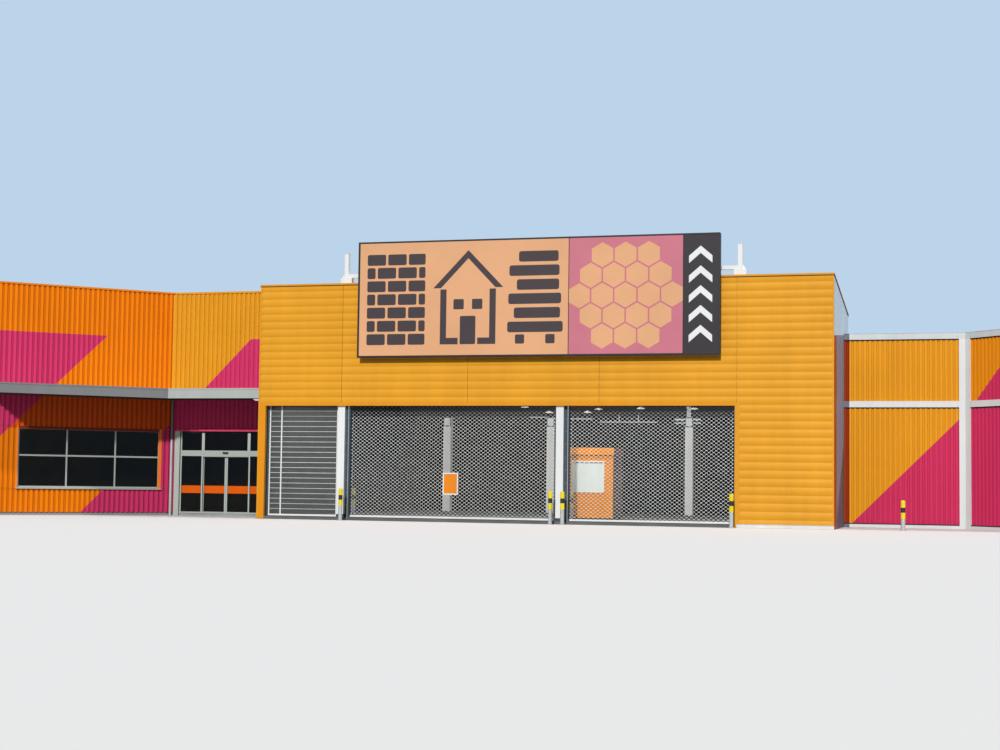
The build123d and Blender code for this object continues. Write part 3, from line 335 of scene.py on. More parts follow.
def coat(
    name,
    colour,
    roughness=0.42,
    metallic=0.0,
    specular=0.3,
    clouds=0.04,
    streaks=0.06,
    buckles=0.0,
    worn=None,
    zones=(),
    grooves=None,
    groove_shade=GROOVE_SHADE,
):
    """A painted or bare surface: clouding, rain streaks, dust in its gloss, grain, worn edges."""
    look = Look(name, metallic, specular)
    base = look.zoned(colour, zones)
    # painted shade: the grooves get a darker share of the colour
    if grooves:
        base = look.mixed(grooves(look), base, look.scaled(base, groove_shade))
    cloud = look.ranged(look.noise(CLOUD_SCALE), 1 - clouds, 1 + clouds)
    streak = look.ranged(look.noise(STREAK_SCALE, 5.0, STREAK_STRETCH), 1 - streaks, 1 + streaks / 4)
    base = look.scaled(base, look.math("MULTIPLY", cloud, streak))
    dust = look.noise(DUST_SCALE, 6.0)
    if worn:
        patchy = look.ranged(dust, 0.15, 0.85)
        base = look.mixed(look.math("MULTIPLY", look.edges(WEAR_RADIUS), patchy), base, (*worn, 1))
    gloss = look.ranged(dust, *about(roughness, 0.07))
    look.finish(base, gloss, look.noise(PAINT_GRAIN, 2.0), PAINT_GRAIN_DEPTH, buckles)


def galvanised(name, colour, metallic=0.35, roughness=0.45, zones=()):
    """Zinc-coated steel: crystals a few centimetres wide that differ in tone and gloss."""
    look = Look(name, metallic, 0.4)
    values = {"Vector": look.place, "Scale": CRYSTAL_SCALE}
    crystals = look.node("ShaderNodeTexVoronoi", values).outputs["Color"]
    tone = look.ranged(crystals, 0.84, 1.12, WHOLE_RANGE)
    patch = look.ranged(look.noise(2.5), 0.9, 1.05)
    base = look.scaled(look.zoned(colour, zones), look.math("MULTIPLY", tone, patch))
    gloss = look.ranged(crystals, *about(roughness, 0.1), WHOLE_RANGE)
    look.finish(base, gloss, look.noise(220.0), 0.0002, 0.0)


def concrete(name, dark, pale):
    """Trowelled concrete: cloudy patches, fine pores and sand."""
    look = Look(name, 0.0, 0.2)
    broad = look.noise(0.8, 5.0)
    sand = look.noise(190.0)
    base = look.mixed(look.ranged(broad, 0, 1), (*dark, 1), (*pale, 1))
    base = look.scaled(base, look.ranged(sand, 0.88, 1.08))
    look.finish(base, look.ranged(broad, 0.55, 0.8), sand, 0.0012, 0.002)


def membrane():
    """Roof membrane: pale grey, dusty, with dark water marks in broad patches."""
    look = Look("roof_membrane", 0.0, 0.25)
    puddles = look.noise(0.35, 6.0)
    base = look.mixed(look.ranged(puddles, 0, 1), (0.34, 0.345, 0.35, 1), (0.47, 0.475, 0.48, 1))
    base = look.scaled(base, look.ranged(look.noise(60.0), 0.93, 1.05))
    look.finish(base, look.ranged(puddles, 0.6, 0.85), look.noise(260.0), 0.0008, 0.004)


def window_glass(name, tint):
    """Tinted glass with a thin uneven film of dust."""
    look = Look(name, 0.0, 0.12)
    film = look.noise(1.8, 6.0, (1, 1, 0.4))
    base = look.scaled(tint, look.ranged(film, 0.8, 1.1))
    look.give("Transmission Weight", 1.0)
    look.give("IOR", 1.22)
    look.finish(base, look.ranged(film, 0.01, 0.07), look.noise(0.9, 1.0), 0.0, 0.0006)


def sign_print(name, colour):
    """Printed sign sheet: satin film with faint dots of its screen and a little dust."""
    look = Look(name, 0.0, 0.25)
    dots = look.node("ShaderNodeTexVoronoi", {"Vector": look.place, "Scale": PRINT_DOTS})
    speck = look.ranged(dots.outputs["Distance"], 1.04, 0.95, source=(0, 0.8))
    fade = look.ranged(look.noise(0.7), 0.95, 1.04)
    base = look.scaled(colour, look.math("MULTIPLY", speck, fade))
    gloss = look.ranged(look.noise(DUST_SCALE), 0.4, 0.56)
    look.finish(base, gloss, look.noise(120.0), 0.0002, 0.003)


# ---- masks: each gives 1 in its zone and 0 elsewhere ----
def past(direction, limit):
    """Where a point's distance along a direction is over a limit."""
    return lambda look: look.math("GREATER_THAN", look.dot(look.place, direction), limit)


def facing(direction):
    """Faces that look along a direction."""
    return lambda look: look.math("GREATER_THAN", look.dot(look.flat_normal(), direction), FACING_MATCH)


def both(first, second):
    return lambda look: look.math("MULTIPLY", first(look), second(look))


def either(first, second):
    return lambda look: look.math("MAXIMUM", first(look), second(look))


def grooves_of(wall, depth):
    """The part of a ribbed sheet that lies deeper than a depth."""
    return past(tuple(wall.inward), wall.inward.dot(wall.origin) + depth)


def across(wall, sign, limit):
    """Beyond a line at 45 degrees on a wall's face: right of it and below, or the reverse."""
    return past((sign * wall.along.x, sign * wall.along.y, -sign), limit)


def by_bay(near, far):
    """One mask in the yard wall's bay beside the portal, and another in its far bay."""
    return either(both(near, past(LEFT, -YARD_BEND)), both(far, yard_far_bay))


CANOPY_SHADE = 4.72
YARD_BEND = HALF + YARD_FACE
YARD_GROOVE = 0.075
STORE_GROOVE = 0.012
inner_end = angled.along.dot(angled.point(STORE_ANGLED, 0, 0))
yard_turn = yard_angled.along.dot(yard_angled.origin)
angled_out = -angled.inward

# The magenta areas: under level lines, and beside diagonals.
corner_magenta = both(past(DOWN, -7.09), across(store, 1, -12.29 - 7.09))
under_canopy_magenta = either(corner_magenta, past(DOWN, -CANOPY_SHADE))
outer_magenta = both(across(angled, -1, 2.74 + 7.12 - inner_end), past(DOWN, -7.12))
angled_magenta = either(outer_magenta, across(angled, 1, inner_end - 3.77))
yard_far_bay = past(RIGHT, YARD_BEND)
yard_magenta = by_bay(across(yard, 1, 11.04), across(yard_angled, 1, yard_turn - 4.22))
yard_grooves = by_bay(grooves_of(yard, YARD_GROOVE), grooves_of(yard_angled, YARD_GROOVE))
# Portal: painted shade on the low part of its right side and on the orange corner return there, and on its
# inner faces.
shaded_low_cheek = both(past((0, 0.087, -1), -7.566), past(RIGHT, 0.0))
shaded_cheek_strip = both(shaded_low_cheek, past(OUT, -FRONT - 1.05))
shaded_inside_portal = past(IN, FRONT + 0.15)
above_hall_roof = past(UP, HALL_HEIGHT)
# Gates, columns and pipe: painted shade below the roller boxes, beams and canopy.
shaded_under_rollers = past(UP, 3.92)
deep_shade_near_rollers = past(UP, 4.1)
shaded_column_head = past(UP, 4.52)
shaded_pipe_top = past(UP, 3.05)
# Store: painted shade on the strip above the window, on the angled face's cap and on its canopy edge.
shaded_below_canopy = both(past(UP, 3.36), past(DOWN, -CANOPY_SHADE))
shaded_angled_cap = both(
    past(tuple(angled_out), angled_out.dot(angled.origin) - 0.33), past(LEFT, -STORE_CORNER[0] - 0.03)
)
shaded_angled_canopy = past(LEFT, 14.75)
# Walls' concrete foot; painted shade on the yard wall's top rail, and the portal's painted shadow on the
# yard wall's corner.
wall_foot = past(DOWN, -BASE - 0.004)
shaded_yard_top = past(UP, 6.96)
portal_shadow_on_yard = past(LEFT, -HALF - 0.2)

STORE_ORANGE = (0.765, 0.328, 0.017)
MAGENTA = (0.64, 0.04, 0.145)
WORN_FRAME = (0.55, 0.56, 0.55)
SHADED_SOFFIT = (0.06, 0.04, 0.035)
PALE_SHEET = (0.52, 0.54, 0.56)
SHADED_WALL = (0.022, 0.023, 0.025)
CORE_ORANGE = (0.80, 0.42, 0.05)
BARE_STEEL = (0.42, 0.43, 0.44)
MATT = {"roughness": 0.6, "specular": 0.1}


def make_shell_coats():
    """Concrete, roof membrane, wall cores and the portal's and hall's sheets."""
    concrete("concrete", (0.30, 0.29, 0.27), (0.42, 0.41, 0.385))
    # painted shade: the hall's floor is much darker than the store's concrete, for the shade inside the
    # hall
    concrete("shaded_hall_concrete", (0.11, 0.107, 0.10), (0.17, 0.166, 0.16))
    membrane()
    coat("wall_core", CORE_ORANGE, zones=((wall_foot, (0.30, 0.30, 0.29)),), **MATT)
    # painted shade: the portal walls' inner faces are near black
    coat("portal_core", CORE_ORANGE, zones=((shaded_inside_portal, SHADED_WALL),), **MATT)
    # painted shade: the hall's rear wall is near black
    coat("shaded_inner_core", (0.011, 0.012, 0.014), **MATT)
    # painted shade: the hall's side walls are near black below its roof, and keep their pale sheet colour
    # above it
    coat("inner_sheet", SHADED_WALL, zones=((above_hall_roof, PALE_SHEET),), **MATT)
    coat("pale_sheet", PALE_SHEET, roughness=0.5)
    coat("portal_orange", (0.76, 0.348, 0.024), specular=0.08, buckles=0.002)
    # the pale sheet is tinted blue as painted sky light on its shaded side; painted shade on its low part,
    # and on the orange corner return there
    shaded_cheek_zones = ((shaded_low_cheek, (0.22, 0.25, 0.34)), (shaded_cheek_strip, (0.42, 0.06, 0.01)))
    coat("cheek_panel", (0.60, 0.78, 0.92), roughness=0.55, specular=0.1, buckles=0.002, zones=shaded_cheek_zones)
    # painted shade on the columns' upper parts
    coat("column_paint", (0.88, 0.89, 0.86), zones=((shaded_column_head, (0.12, 0.12, 0.13)),))
    # painted shade: the hall's beams, fascia, roller boxes and lamp rods, and the portal's drips, are near
    # black
    coat("shaded_dark_steel", (0.03, 0.032, 0.035), roughness=0.55, specular=0.15)


def make_sheet_coats():
    """The store's and the yard wall's ribbed sheets, with painted shade in their grooves."""
    coat(
        "store_orange",
        STORE_ORANGE,
        specular=0.08,
        zones=((under_canopy_magenta, MAGENTA),),
        grooves=grooves_of(store, STORE_GROOVE),
        groove_shade=FAINT_GROOVES,
    )
    # painted shade: the angled face's orange is redder and darker than the same orange beside it, and
    # darker still on the strip above the window
    coat(
        "angled_orange",
        (0.86, 0.21, 0.004),
        specular=0.08,
        zones=((shaded_below_canopy, (0.74, 0.10, 0.008)), (angled_magenta, MAGENTA)),
        grooves=grooves_of(angled, STORE_GROOVE),
    )
    coat("end_orange", STORE_ORANGE, specular=0.1)
    coat(
        "yard_orange",
        (0.80, 0.335, 0.015),
        specular=0.08,
        zones=(
            # painted shade: the far bay's orange is redder; the portal's painted shadow lies on the corner
            (yard_far_bay, (0.80, 0.27, 0.008)),
            (yard_magenta, (0.64, 0.035, 0.12)),
            (portal_shadow_on_yard, (0.30, 0.035, 0.006)),
        ),
        grooves=yard_grooves,
        groove_shade=FAINT_GROOVES,
    )
    # painted shade on the top rail and caps, and the portal's painted shadow on the corner
    shaded_frame_zones = ((shaded_yard_top, (0.60, 0.63, 0.63)), (portal_shadow_on_yard, (0.14, 0.14, 0.17)))
    coat("yard_frame", (0.71, 0.73, 0.71), worn=BARE_STEEL, buckles=0.001, zones=shaded_frame_zones)


def make_trim_coats():
    """Flashings, caps, canopy, window and storefront frames, glass and seals."""
    coat("trim_orange", (0.75, 0.34, 0.025), specular=0.1, worn=(0.7, 0.42, 0.15))
    coat("reveal_orange", (0.92, 0.22, 0.03), specular=0.1)
    # painted shade: the piece over the window is dark red
    coat("shaded_window_head", (0.22, 0.03, 0.012), specular=0.1)
    coat("head_trim", (0.88, 0.07, 0.17), specular=0.15)
    coat("opening_orange", (0.78, 0.29, 0.012), specular=0.1)
    # painted shade on the cap along the angled face
    shaded_cap_zones = ((shaded_angled_cap, (0.72, 0.20, 0.008)),)
    coat("cap_orange", (0.74, 0.32, 0.025), specular=0.1, worn=(0.7, 0.40, 0.12), zones=shaded_cap_zones)
    # painted shade on the canopy edge along the angled face
    coat("canopy_grey", (0.42, 0.447, 0.425), zones=((shaded_angled_canopy, (0.19, 0.195, 0.20)),))
    # painted shade on the deck's underside and on the soffit ribs
    coat("canopy_deck", (0.50, 0.51, 0.50), roughness=0.5, zones=((facing(DOWN), SHADED_SOFFIT),))
    coat("canopy_soffit", SHADED_SOFFIT, roughness=0.5, specular=0.1)
    coat("window_grey", (0.40, 0.435, 0.395), worn=WORN_FRAME, metallic=0.1)
    # painted shade on the frame's and the door leaves' right-facing sides
    shaded_frame_zones = ((facing(RIGHT), (0.06, 0.065, 0.06)),)
    coat("storefront_grey", (0.44, 0.475, 0.425), worn=WORN_FRAME, metallic=0.1, zones=shaded_frame_zones)
    coat("rubber", (0.02, 0.02, 0.022), roughness=0.7, specular=0.2)
    window_glass("window_glass", (0.16, 0.18, 0.19))
    coat("safety_band", (0.74, 0.11, 0.002), roughness=0.5, specular=0.1)


def make_fitting_coats():
    """Gates, bollards, booth, downpipe, bolts and the hall's lamps."""
    coat("white_paint", (0.80, 0.82, 0.81), worn=BARE_STEEL, clouds=0.03)
    coat("plinth_paint", (0.78, 0.79, 0.78), worn=(0.4, 0.38, 0.35), streaks=0.12)
    coat("guide_paint", (0.052, 0.076, 0.10), specular=0.2, worn=(0.2, 0.22, 0.24))
    # painted shade on the mesh and rods near the roller boxes
    shaded_mesh_zones = ((shaded_under_rollers, (0.36, 0.35, 0.35)), (deep_shade_near_rollers, (0.15, 0.14, 0.14)))
    galvanised("grille_steel", (0.80, 0.82, 0.79), 0.1, zones=shaded_mesh_zones)
    galvanised("rod_steel", (0.62, 0.64, 0.61), 0.1, zones=((shaded_under_rollers, (0.40, 0.40, 0.38)),))
    galvanised("slat_steel", (0.225, 0.23, 0.22))
    galvanised("zinc", (0.46, 0.48, 0.48))
    # painted shade on the pipe's top, under the canopy
    galvanised("pipe_zinc", (0.50, 0.54, 0.53), zones=((shaded_pipe_top, (0.13, 0.14, 0.12)),))
    galvanised("bolt_steel", (0.40, 0.41, 0.42), 0.6, 0.4)
    galvanised("bollard_steel", (0.50, 0.51, 0.50))
    coat("board_orange", (0.84, 0.26, 0.02), specular=0.1, worn=(0.7, 0.6, 0.5))
    coat("bollard_yellow", (0.84, 0.66, 0.012), specular=0.2, worn=BARE_STEEL, streaks=0.1)
    coat("bollard_black", (0.022, 0.022, 0.024), worn=(0.2, 0.2, 0.2))
    # painted shade on the booth's right side
    coat("booth_orange", (0.80, 0.26, 0.008), specular=0.1, zones=((facing(RIGHT), (0.09, 0.018, 0.008)),))
    coat("booth_panel", (0.74, 0.81, 0.76), roughness=0.5)
    coat("lamp_glass", (0.80, 0.80, 0.76), roughness=0.3)
    glow = coats["lamp_glass"].node_tree.nodes["Principled BSDF"]
    glow.inputs["Emission Color"].default_value = (1.0, 0.97, 0.88, 1)
    glow.inputs["Emission Strength"].default_value = 0.45


def make_sign_coats():
    coat("black_frame", (0.014, 0.013, 0.016), worn=(0.1, 0.1, 0.11))
    sign_print("sign_peach", (0.74, 0.385, 0.195))
    sign_print("sign_rose", (0.575, 0.172, 0.228))
    sign_print("sign_night", (0.028, 0.022, 0.025))
    sign_print("sign_charcoal", (0.05, 0.036, 0.04))
    sign_print("sign_chalk", (0.80, 0.81, 0.82))


NODE_COATS = {
    "shaded_hall_concrete": "hall_floor",
    "concrete": "store_floor",
    "roof_membrane": "portal_roof hall_roof store_roof",
    "portal_core": "portal_lintel_wall portal_piers portal_side_walls",
    "wall_core": "store_front_wall angled_wall_bands angled_wall_piers corner_pier"
    " store_end_wall store_rear_wall",
    "shaded_inner_core": "hall_rear_wall",
    "inner_sheet": "hall_side_walls",
    "pale_sheet": "portal_rear_wall",
    "portal_orange": "portal_cladding",
    "opening_orange": "opening_trim",
    "cap_orange": "portal_caps store_caps",
    "cheek_panel": "portal_side_panels",
    "plinth_paint": "plinth",
    "shaded_dark_steel": "roof_beams hall_rear_fascia roller_boxes",
    "column_paint": "hall_columns",
    "white_paint": "gate_posts sign_supports",
    "guide_paint": "gate_guides",
    "board_orange": "notice_board",
    "bollard_steel": "bollards",
    "booth_orange": "booth_body",
    "booth_panel": "booth_panel",
    "black_frame": "sign_box",
    "sign_peach": "sign_panel_wide",
    "sign_rose": "sign_panel_square",
    "sign_night": "sign_panel_narrow",
    "store_orange": "store_cladding",
    "angled_orange": "angled_cladding",
    "end_orange": "store_end_cladding",
    "canopy_deck": "canopy",
    "canopy_grey": "canopy_fascia",
    "pipe_zinc": "downpipe",
    "window_grey": "window_frame door_operator",
    "storefront_grey": "storefront_frame door_leaf_left door_leaf_right",
    "window_glass": "window_glass storefront_glass door_glass_left door_glass_right",
    "yard_frame": "yard_wall_frame",
    "yard_orange": "yard_wall_panels",
}


def dress_nodes():
    for coat_name, names in NODE_COATS.items():
        for name in names.split():
            for slot in nodes[name].material_slots:
                slot.material = coats[coat_name]


# ---- gates ----
MESH_PITCH = 0.0665
MESH_PERIOD = 0.176
ROD_RADIUS = 0.0043
ROD_SECTION = ((-1, -1), (-1, 1), (1, 1), (1, -1))
FLAT_CREST = 0.4
SLEEVE = (0.054, 0.012)
CURTAIN_DEPTH = 0.30
BAR_TOP = 0.19
SLAT_PITCH = 0.033
SLAT_ROD_PITCH = 0.2
SLAT_ROD_RADIUS = 0.012


def crests_of(along):
    """How many half waves a rod has between two ends, and the length of each."""
    halves = round((along[1] - along[0]) / MESH_PERIOD) * 2
    return halves, (along[1] - along[0]) / halves


def wavy_rod(shapes, along, level, swing, first_up):
    """One rod of a mesh curtain: a zigzag with short flat crests, of four-sided section."""
    halves, step = crests_of(along)
    rings = []
    for half in range(halves + 1):
        side = 1 if (half % 2 == 0) == first_up else -1
        z = level + side * swing
        for t in about(along[0] + half * step, step * FLAT_CREST / 2):
            t = min(max(t, along[0]), along[1])
            section = [(CURTAIN_DEPTH + d * ROD_RADIUS, z + up * ROD_RADIUS) for d, up in ROD_SECTION]
            rings.append([front.point(t, *corner) for corner in section])
    shapes.loft(rings[1:-1])


def mesh_curtain(shapes, along, heights):
    """Rods that meet crest to crest, with a sleeve round each meeting point."""
    rows = round((heights[1] - heights[0]) / MESH_PITCH)
    pitch = (heights[1] - heights[0]) / rows
    halves, step = crests_of(along)
    length, thickness = SLEEVE
    for row in range(rows):
        level = heights[0] + (row + 0.5) * pitch
        wavy_rod(shapes, along, level, pitch / 2 - ROD_RADIUS, row % 2 == 0)
        if row == rows - 1:
            continue
        across, upright = about(CURTAIN_DEPTH, thickness), about(level + pitch / 2, thickness)
        for half in range(row % 2, halves + 1, 2):
            t = min(max(along[0] + half * step, along[0] + length / 2), along[1] - length / 2)
            shapes.block(front, about(t, length / 2), across, upright)


def curtain_edges(side, along, seals, uprights=()):
    """A curtain's seal, its white bottom bar with a lip, and upright bars at places along it."""
    edges = Shapes()
    edges.block(front, along, about(CURTAIN_DEPTH, 0.03), (FLOOR + 0.02, BAR_TOP - 0.03))
    edges.block(front, along, about(CURTAIN_DEPTH, 0.015), (BAR_TOP - 0.03, BAR_TOP))
    for middle in uprights:
        edges.block(front, about(middle, 0.025), about(CURTAIN_DEPTH, 0.012), (BAR_TOP, LINTEL))
    make_piece("gate_bar_" + side, edges, "white_paint", bevel=0.003)
    seals.block(front, along, about(CURTAIN_DEPTH, 0.02), (FLOOR, FLOOR + 0.02))


def box_range(name):
    low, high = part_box(name)
    return low.x, high.x


def build_gates():
    seals = Shapes()
    for side in ("middle", "right"):
        along = box_range("grille_" + side)
        rods = Shapes()
        mesh_curtain(rods, (along[0] + 0.02, along[1] - 0.02), (BAR_TOP, LINTEL))
        curtain = make_piece("gate_mesh_" + side, rods, "grille_steel")
        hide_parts("grille_" + side)
        curtain_edges(side, along, seals)
    along = box_range("grille_left")
    slats, rods = Shapes(), Shapes()
    for z in steps(BAR_TOP, LINTEL, SLAT_PITCH):
        slats.block(front, along, about(CURTAIN_DEPTH, 0.004), about(z, 0.006))
    curtain = make_piece("gate_slats_left", slats, "slat_steel", "grille_steel")
    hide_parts("grille_left")
    profile = ((0, SLAT_ROD_RADIUS), (along[1] - along[0], SLAT_ROD_RADIUS))
    for z in steps(BAR_TOP, LINTEL, SLAT_ROD_PITCH):
        rods.turned(front.point(along[0], CURTAIN_DEPTH - 0.004, z), profile, 10, front.along)
    make_piece("gate_rods_left", rods, "rod_steel", "grille_steel")
    curtain_edges("left", along, seals, (along[0] + 0.025, along[0] + 0.5, along[1] - 0.025))
    make_piece("gate_seals", seals, "rubber", "dark_paint")


POSTS = ((-7.66, -7.38), (0.88, 1.16))
WIDE_GUIDES = ((-7.38, -7.18), (1.16, 1.36))
FOOT_TOP = FLOOR + 0.015
FOOT_BOLT = ((0, 0.02), (0.004, 0.02), (0.018, 0.013))


def build_gate_fittings():
    lips, bolts, feet = Shapes(), Shapes(), Shapes()
    for left, right in WIDE_GUIDES:
        lips.block(front, (right - 0.022, right), (0.018, 0.03), (FLOOR, LINTEL))
        for z in steps(FLOOR, LINTEL, 0.45):
            bolts.screw(front, left + 0.06, 0.24, z, 0.011)
    for left, right in POSTS:
        feet.block(front, (left - 0.05, right + 0.05), (0.02, 0.235), (FLOOR, FOOT_TOP))
        feet.block(front, (left - 0.006, right + 0.006), (0.092, 0.235), (FOOT_TOP, FLOOR + 0.12))
        for t in (left - 0.02, right + 0.02):
            bolts.turned(front.point(t, 0.06, FOOT_TOP), FOOT_BOLT, 6)
    make_piece("guide_lips", lips, "window_grey", "zinc", bevel=0.002)
    make_piece("post_feet", feet, "guide_paint", "dark_paint", bevel=0.003)
    make_piece("gate_bolts", bolts, "bolt_steel", "zinc")
    board = Shapes()
    low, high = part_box("notice_board")
    board.border(front, (low.x, high.x), (low.z, high.z), about(low.y - FRONT, 0.006), 0.045)
    make_piece("notice_board_frame", board, "white_paint", bevel=0.002)


BOLLARDS = (
    (-7.3, -9.4, 0.0, 1.2),
    (0.82, -9.4, 0.0, 1.2),
    (1.27, -9.4, 0.0, 1.2),
    (7.38, -9.4, 0.0, 1.2),
    (13.2, -8.23, 0.0, 1.05),
    (-7.29, -8.1, FLOOR, 1.2),
    (1.28, -8.1, FLOOR, 1.2),
    (7.34, -8.1, FLOOR, 1.2),
)
BOLLARD_RADIUS = 0.077
BOLLARD_SIDES = 28
BOLLARD_DOME = 0.04
DOME_TURNS = [radians(turn) for turn in (0, 20, 40, 60, 75, 86)]
TOP_BAND = 0.215
BLACK_BAND = 0.175
LOW_BAND = 0.215
FLANGE = ((0, 0.13), (0.012, 0.13), (0.014, 0.125), (0.014, 0.08))
FLANGE_BOLT = ((0, 0.014), (0.016, 0.012))
FLANGE_BOLT_RING = 0.105


def build_bollards():
    yellow, black, flanges = Shapes(), Shapes(), Shapes()
    for x, y, ground, top in BOLLARDS:
        place = (x, y, 0)
        post = top - BOLLARD_DOME
        upper, lower = post - TOP_BAND, post - TOP_BAND - BLACK_BAND
        dome = [(post + BOLLARD_DOME * sin(a), BOLLARD_RADIUS * cos(a)) for a in DOME_TURNS]
        yellow.turned(place, [(upper, BOLLARD_RADIUS), *dome], BOLLARD_SIDES)
        for band, low, high in ((yellow, lower - LOW_BAND, lower), (black, lower, upper)):
            band.turned(place, ((low, BOLLARD_RADIUS), (high, BOLLARD_RADIUS)), BOLLARD_SIDES)
        flanges.turned(place, [(ground + height, radius) for height, radius in FLANGE], BOLLARD_SIDES)
        for turn in (45, 135, 225, 315):
            reach = (FLANGE_BOLT_RING * cos(radians(turn)), FLANGE_BOLT_RING * sin(radians(turn)))
            flanges.turned((x + reach[0], y + reach[1], ground + 0.012), FLANGE_BOLT, 6)
    make_piece("bollard_bands_yellow", yellow, "bollard_yellow", "bollard_paint")
    make_piece("bollard_bands_black", black, "bollard_black", "bollard_paint")
    make_piece("bollard_flanges", flanges, "bollard_steel", "zinc")


# ---- hall and booth ----
RAILS = (
    (-4.29, -3.47, 4.49, 4.53),
    (-2.41, -1.33, 4.41, 4.46),
    (-0.98, 1.70, 4.28, 4.32),
    (2.48, 2.955, 4.38, 4.45),
    (2.48, 2.955, 4.23, 4.28),
    (3.305, 3.67, 4.38, 4.45),
    (3.305, 3.67, 4.23, 4.28),
)
RAIL_TOP = 4.62
FASCIA_DEPTH = 15.65
COLUMN = (2.955, 3.305)
COLUMN_MIDDLES = (-8.3, -3.3, 3.13, 8.3)
HALL_LAMPS = ((-4.15, 4.98), (-3.0, 4.74), (-1.23, 4.75), (-0.72, 4.88), (1.2, 4.92), (3.6, 4.90))
LAMP_DEPTH = 14.2
LAMP_PROFILE = ((0, 0.17), (0.015, 0.18), (0.04, 0.16), (0.065, 0.08), (0.09, 0.05))
LAMP_ROD_TOP = 6.37
BEAMS = 4
BEAM_LEVELS = (6.02, 6.39)


def build_hall():
    rail = Shapes()
    for left, right, low, high in RAILS:
        rail.block(front, (left, right), (FASCIA_DEPTH - 0.05, FASCIA_DEPTH), (low, high))
        for t in steps(left, right, 0.9):
            rail.block(front, about(t, 0.02), (FASCIA_DEPTH - 0.04, FASCIA_DEPTH), (high, RAIL_TOP))
    rail.block(front, (COLUMN[0] + 0.08, COLUMN[1] - 0.08), (15.56, 15.6), (4.52, 6.42))
    make_piece("hall_rail", rail, "white_paint", bevel=0.004)
    lamps, rods = Shapes(), Shapes()
    for x, z in HALL_LAMPS:
        lamps.turned(front.point(x, LAMP_DEPTH, z - 0.09), LAMP_PROFILE, 20)
        rods.turned(front.point(x, LAMP_DEPTH, z + 0.05), ((0, 0.008), (LAMP_ROD_TOP - z, 0.008)), 8)
    make_piece("hall_lamps", lamps, "lamp_glass", "white_panel", smooth=True)
    make_piece("hall_lamp_rods", rods, "shaded_dark_steel", "steel_paint")
    plates = Shapes()
    for middle in COLUMN_MIDDLES:
        plates.block(front, about(middle, 0.23), (15.55, 16.0), (FLOOR, FLOOR + 0.02))
        plates.border(front, about(middle, 0.19), (4.07, 4.52), (15.585, 15.6), 0.05)
    make_piece("hall_column_plates", plates, "guide_paint", "dark_paint", bevel=0.004)
    flanges = Shapes()
    for number in range(BEAMS):
        middle = HALL_DEPTH * (number + 1) / (BEAMS + 1)
        for z in BEAM_LEVELS:
            flanges.block(front, (-INNER, INNER), about(middle, 0.14), about(z, 0.015))
    make_piece("beam_flanges", flanges, "shaded_dark_steel", "steel_paint")


def build_booth():
    low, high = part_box("booth_body")
    along = (low.x + 0.04, high.x - 0.04)
    near, far = low.y - FRONT + 0.04, high.y - FRONT - 0.04
    dark, pale = Shapes(), Shapes()
    for d in ((near - 0.006, near), (far, far + 0.006)):
        dark.block(front, along, d, (2.53, 2.56))
        dark.block(front, along, d, (FLOOR, FLOOR + 0.12))
    low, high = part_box("booth_panel")
    depth = (low.y - FRONT - 0.008, low.y - FRONT + 0.004)
    pale.border(front, (low.x, high.x), (low.z, high.z), depth, 0.05)
    # painted shadow line under the panel's top border
    dark.block(front, (low.x + 0.05, high.x - 0.05), depth, (high.z - 0.075, high.z - 0.05))
    make_piece("booth_joints_and_shade_line", dark, "rubber", "dark_paint")
    make_piece("booth_trims", pale, "white_paint", bevel=0.002)


# ---- sign ----
SIGN_FACE_DEPTH = -0.33
SIGN_EDGES = (-6.70, 1.41, 5.62, 6.87)
SIGN_HEIGHTS = (6.18, 10.42)
FILM = (SIGN_FACE_DEPTH - 0.004, SIGN_FACE_DEPTH)
SIGN_RIMS = ((0.012, (-0.345, -0.315), 0.055), (0.008, (-0.1, -0.07), 0.045))
PLANKS = (2.1, 1.75, 2.0, 1.6, 1.9, 1.5)
PAVER_RADIUS = 0.46
CHEVRON = ((-0.42, 0), (0, 0.36), (0.42, 0), (0.42, 0.26), (0, 0.62), (-0.42, 0.26))
SIGN_POSTS = (-7.4, 7.6)
SIGN_BOLT = ((0, 0.018), (0.004, 0.018), (0.02, 0.012))


def rounded_plate(shapes, along, heights, radius):
    """A plate of sign film with rounded corners."""
    left, right = along[0] + radius, along[1] - radius
    low, high = heights[0] + radius, heights[1] - radius
    outline = []
    for t, z, start in ((right, low, -90), (right, high, 0), (left, high, 90), (left, low, 180)):
        for turn in range(start, start + 91, 30):
            outline.append((t + radius * cos(radians(turn)), z + radius * sin(radians(turn))))
    shapes.plate(front, outline, FILM)


def brick_stack(shapes, left, bottom, courses, length, height, gap, width):
    """A running bond of rounded bricks, with half bricks at every other course's ends."""
    for course in range(courses):
        z = bottom + course * (height + gap)
        edges = [left] if course % 2 == 0 else [left, left + (length - gap) / 2 + gap]
        while edges[-1] + length + gap < left + width - gap:
            edges.append(edges[-1] + length + gap)
        edges.append(left + width + gap)
        for start, end in zip(edges, edges[1:]):
            rounded_plate(shapes, (start, end - gap), (z, z + height), 0.06)


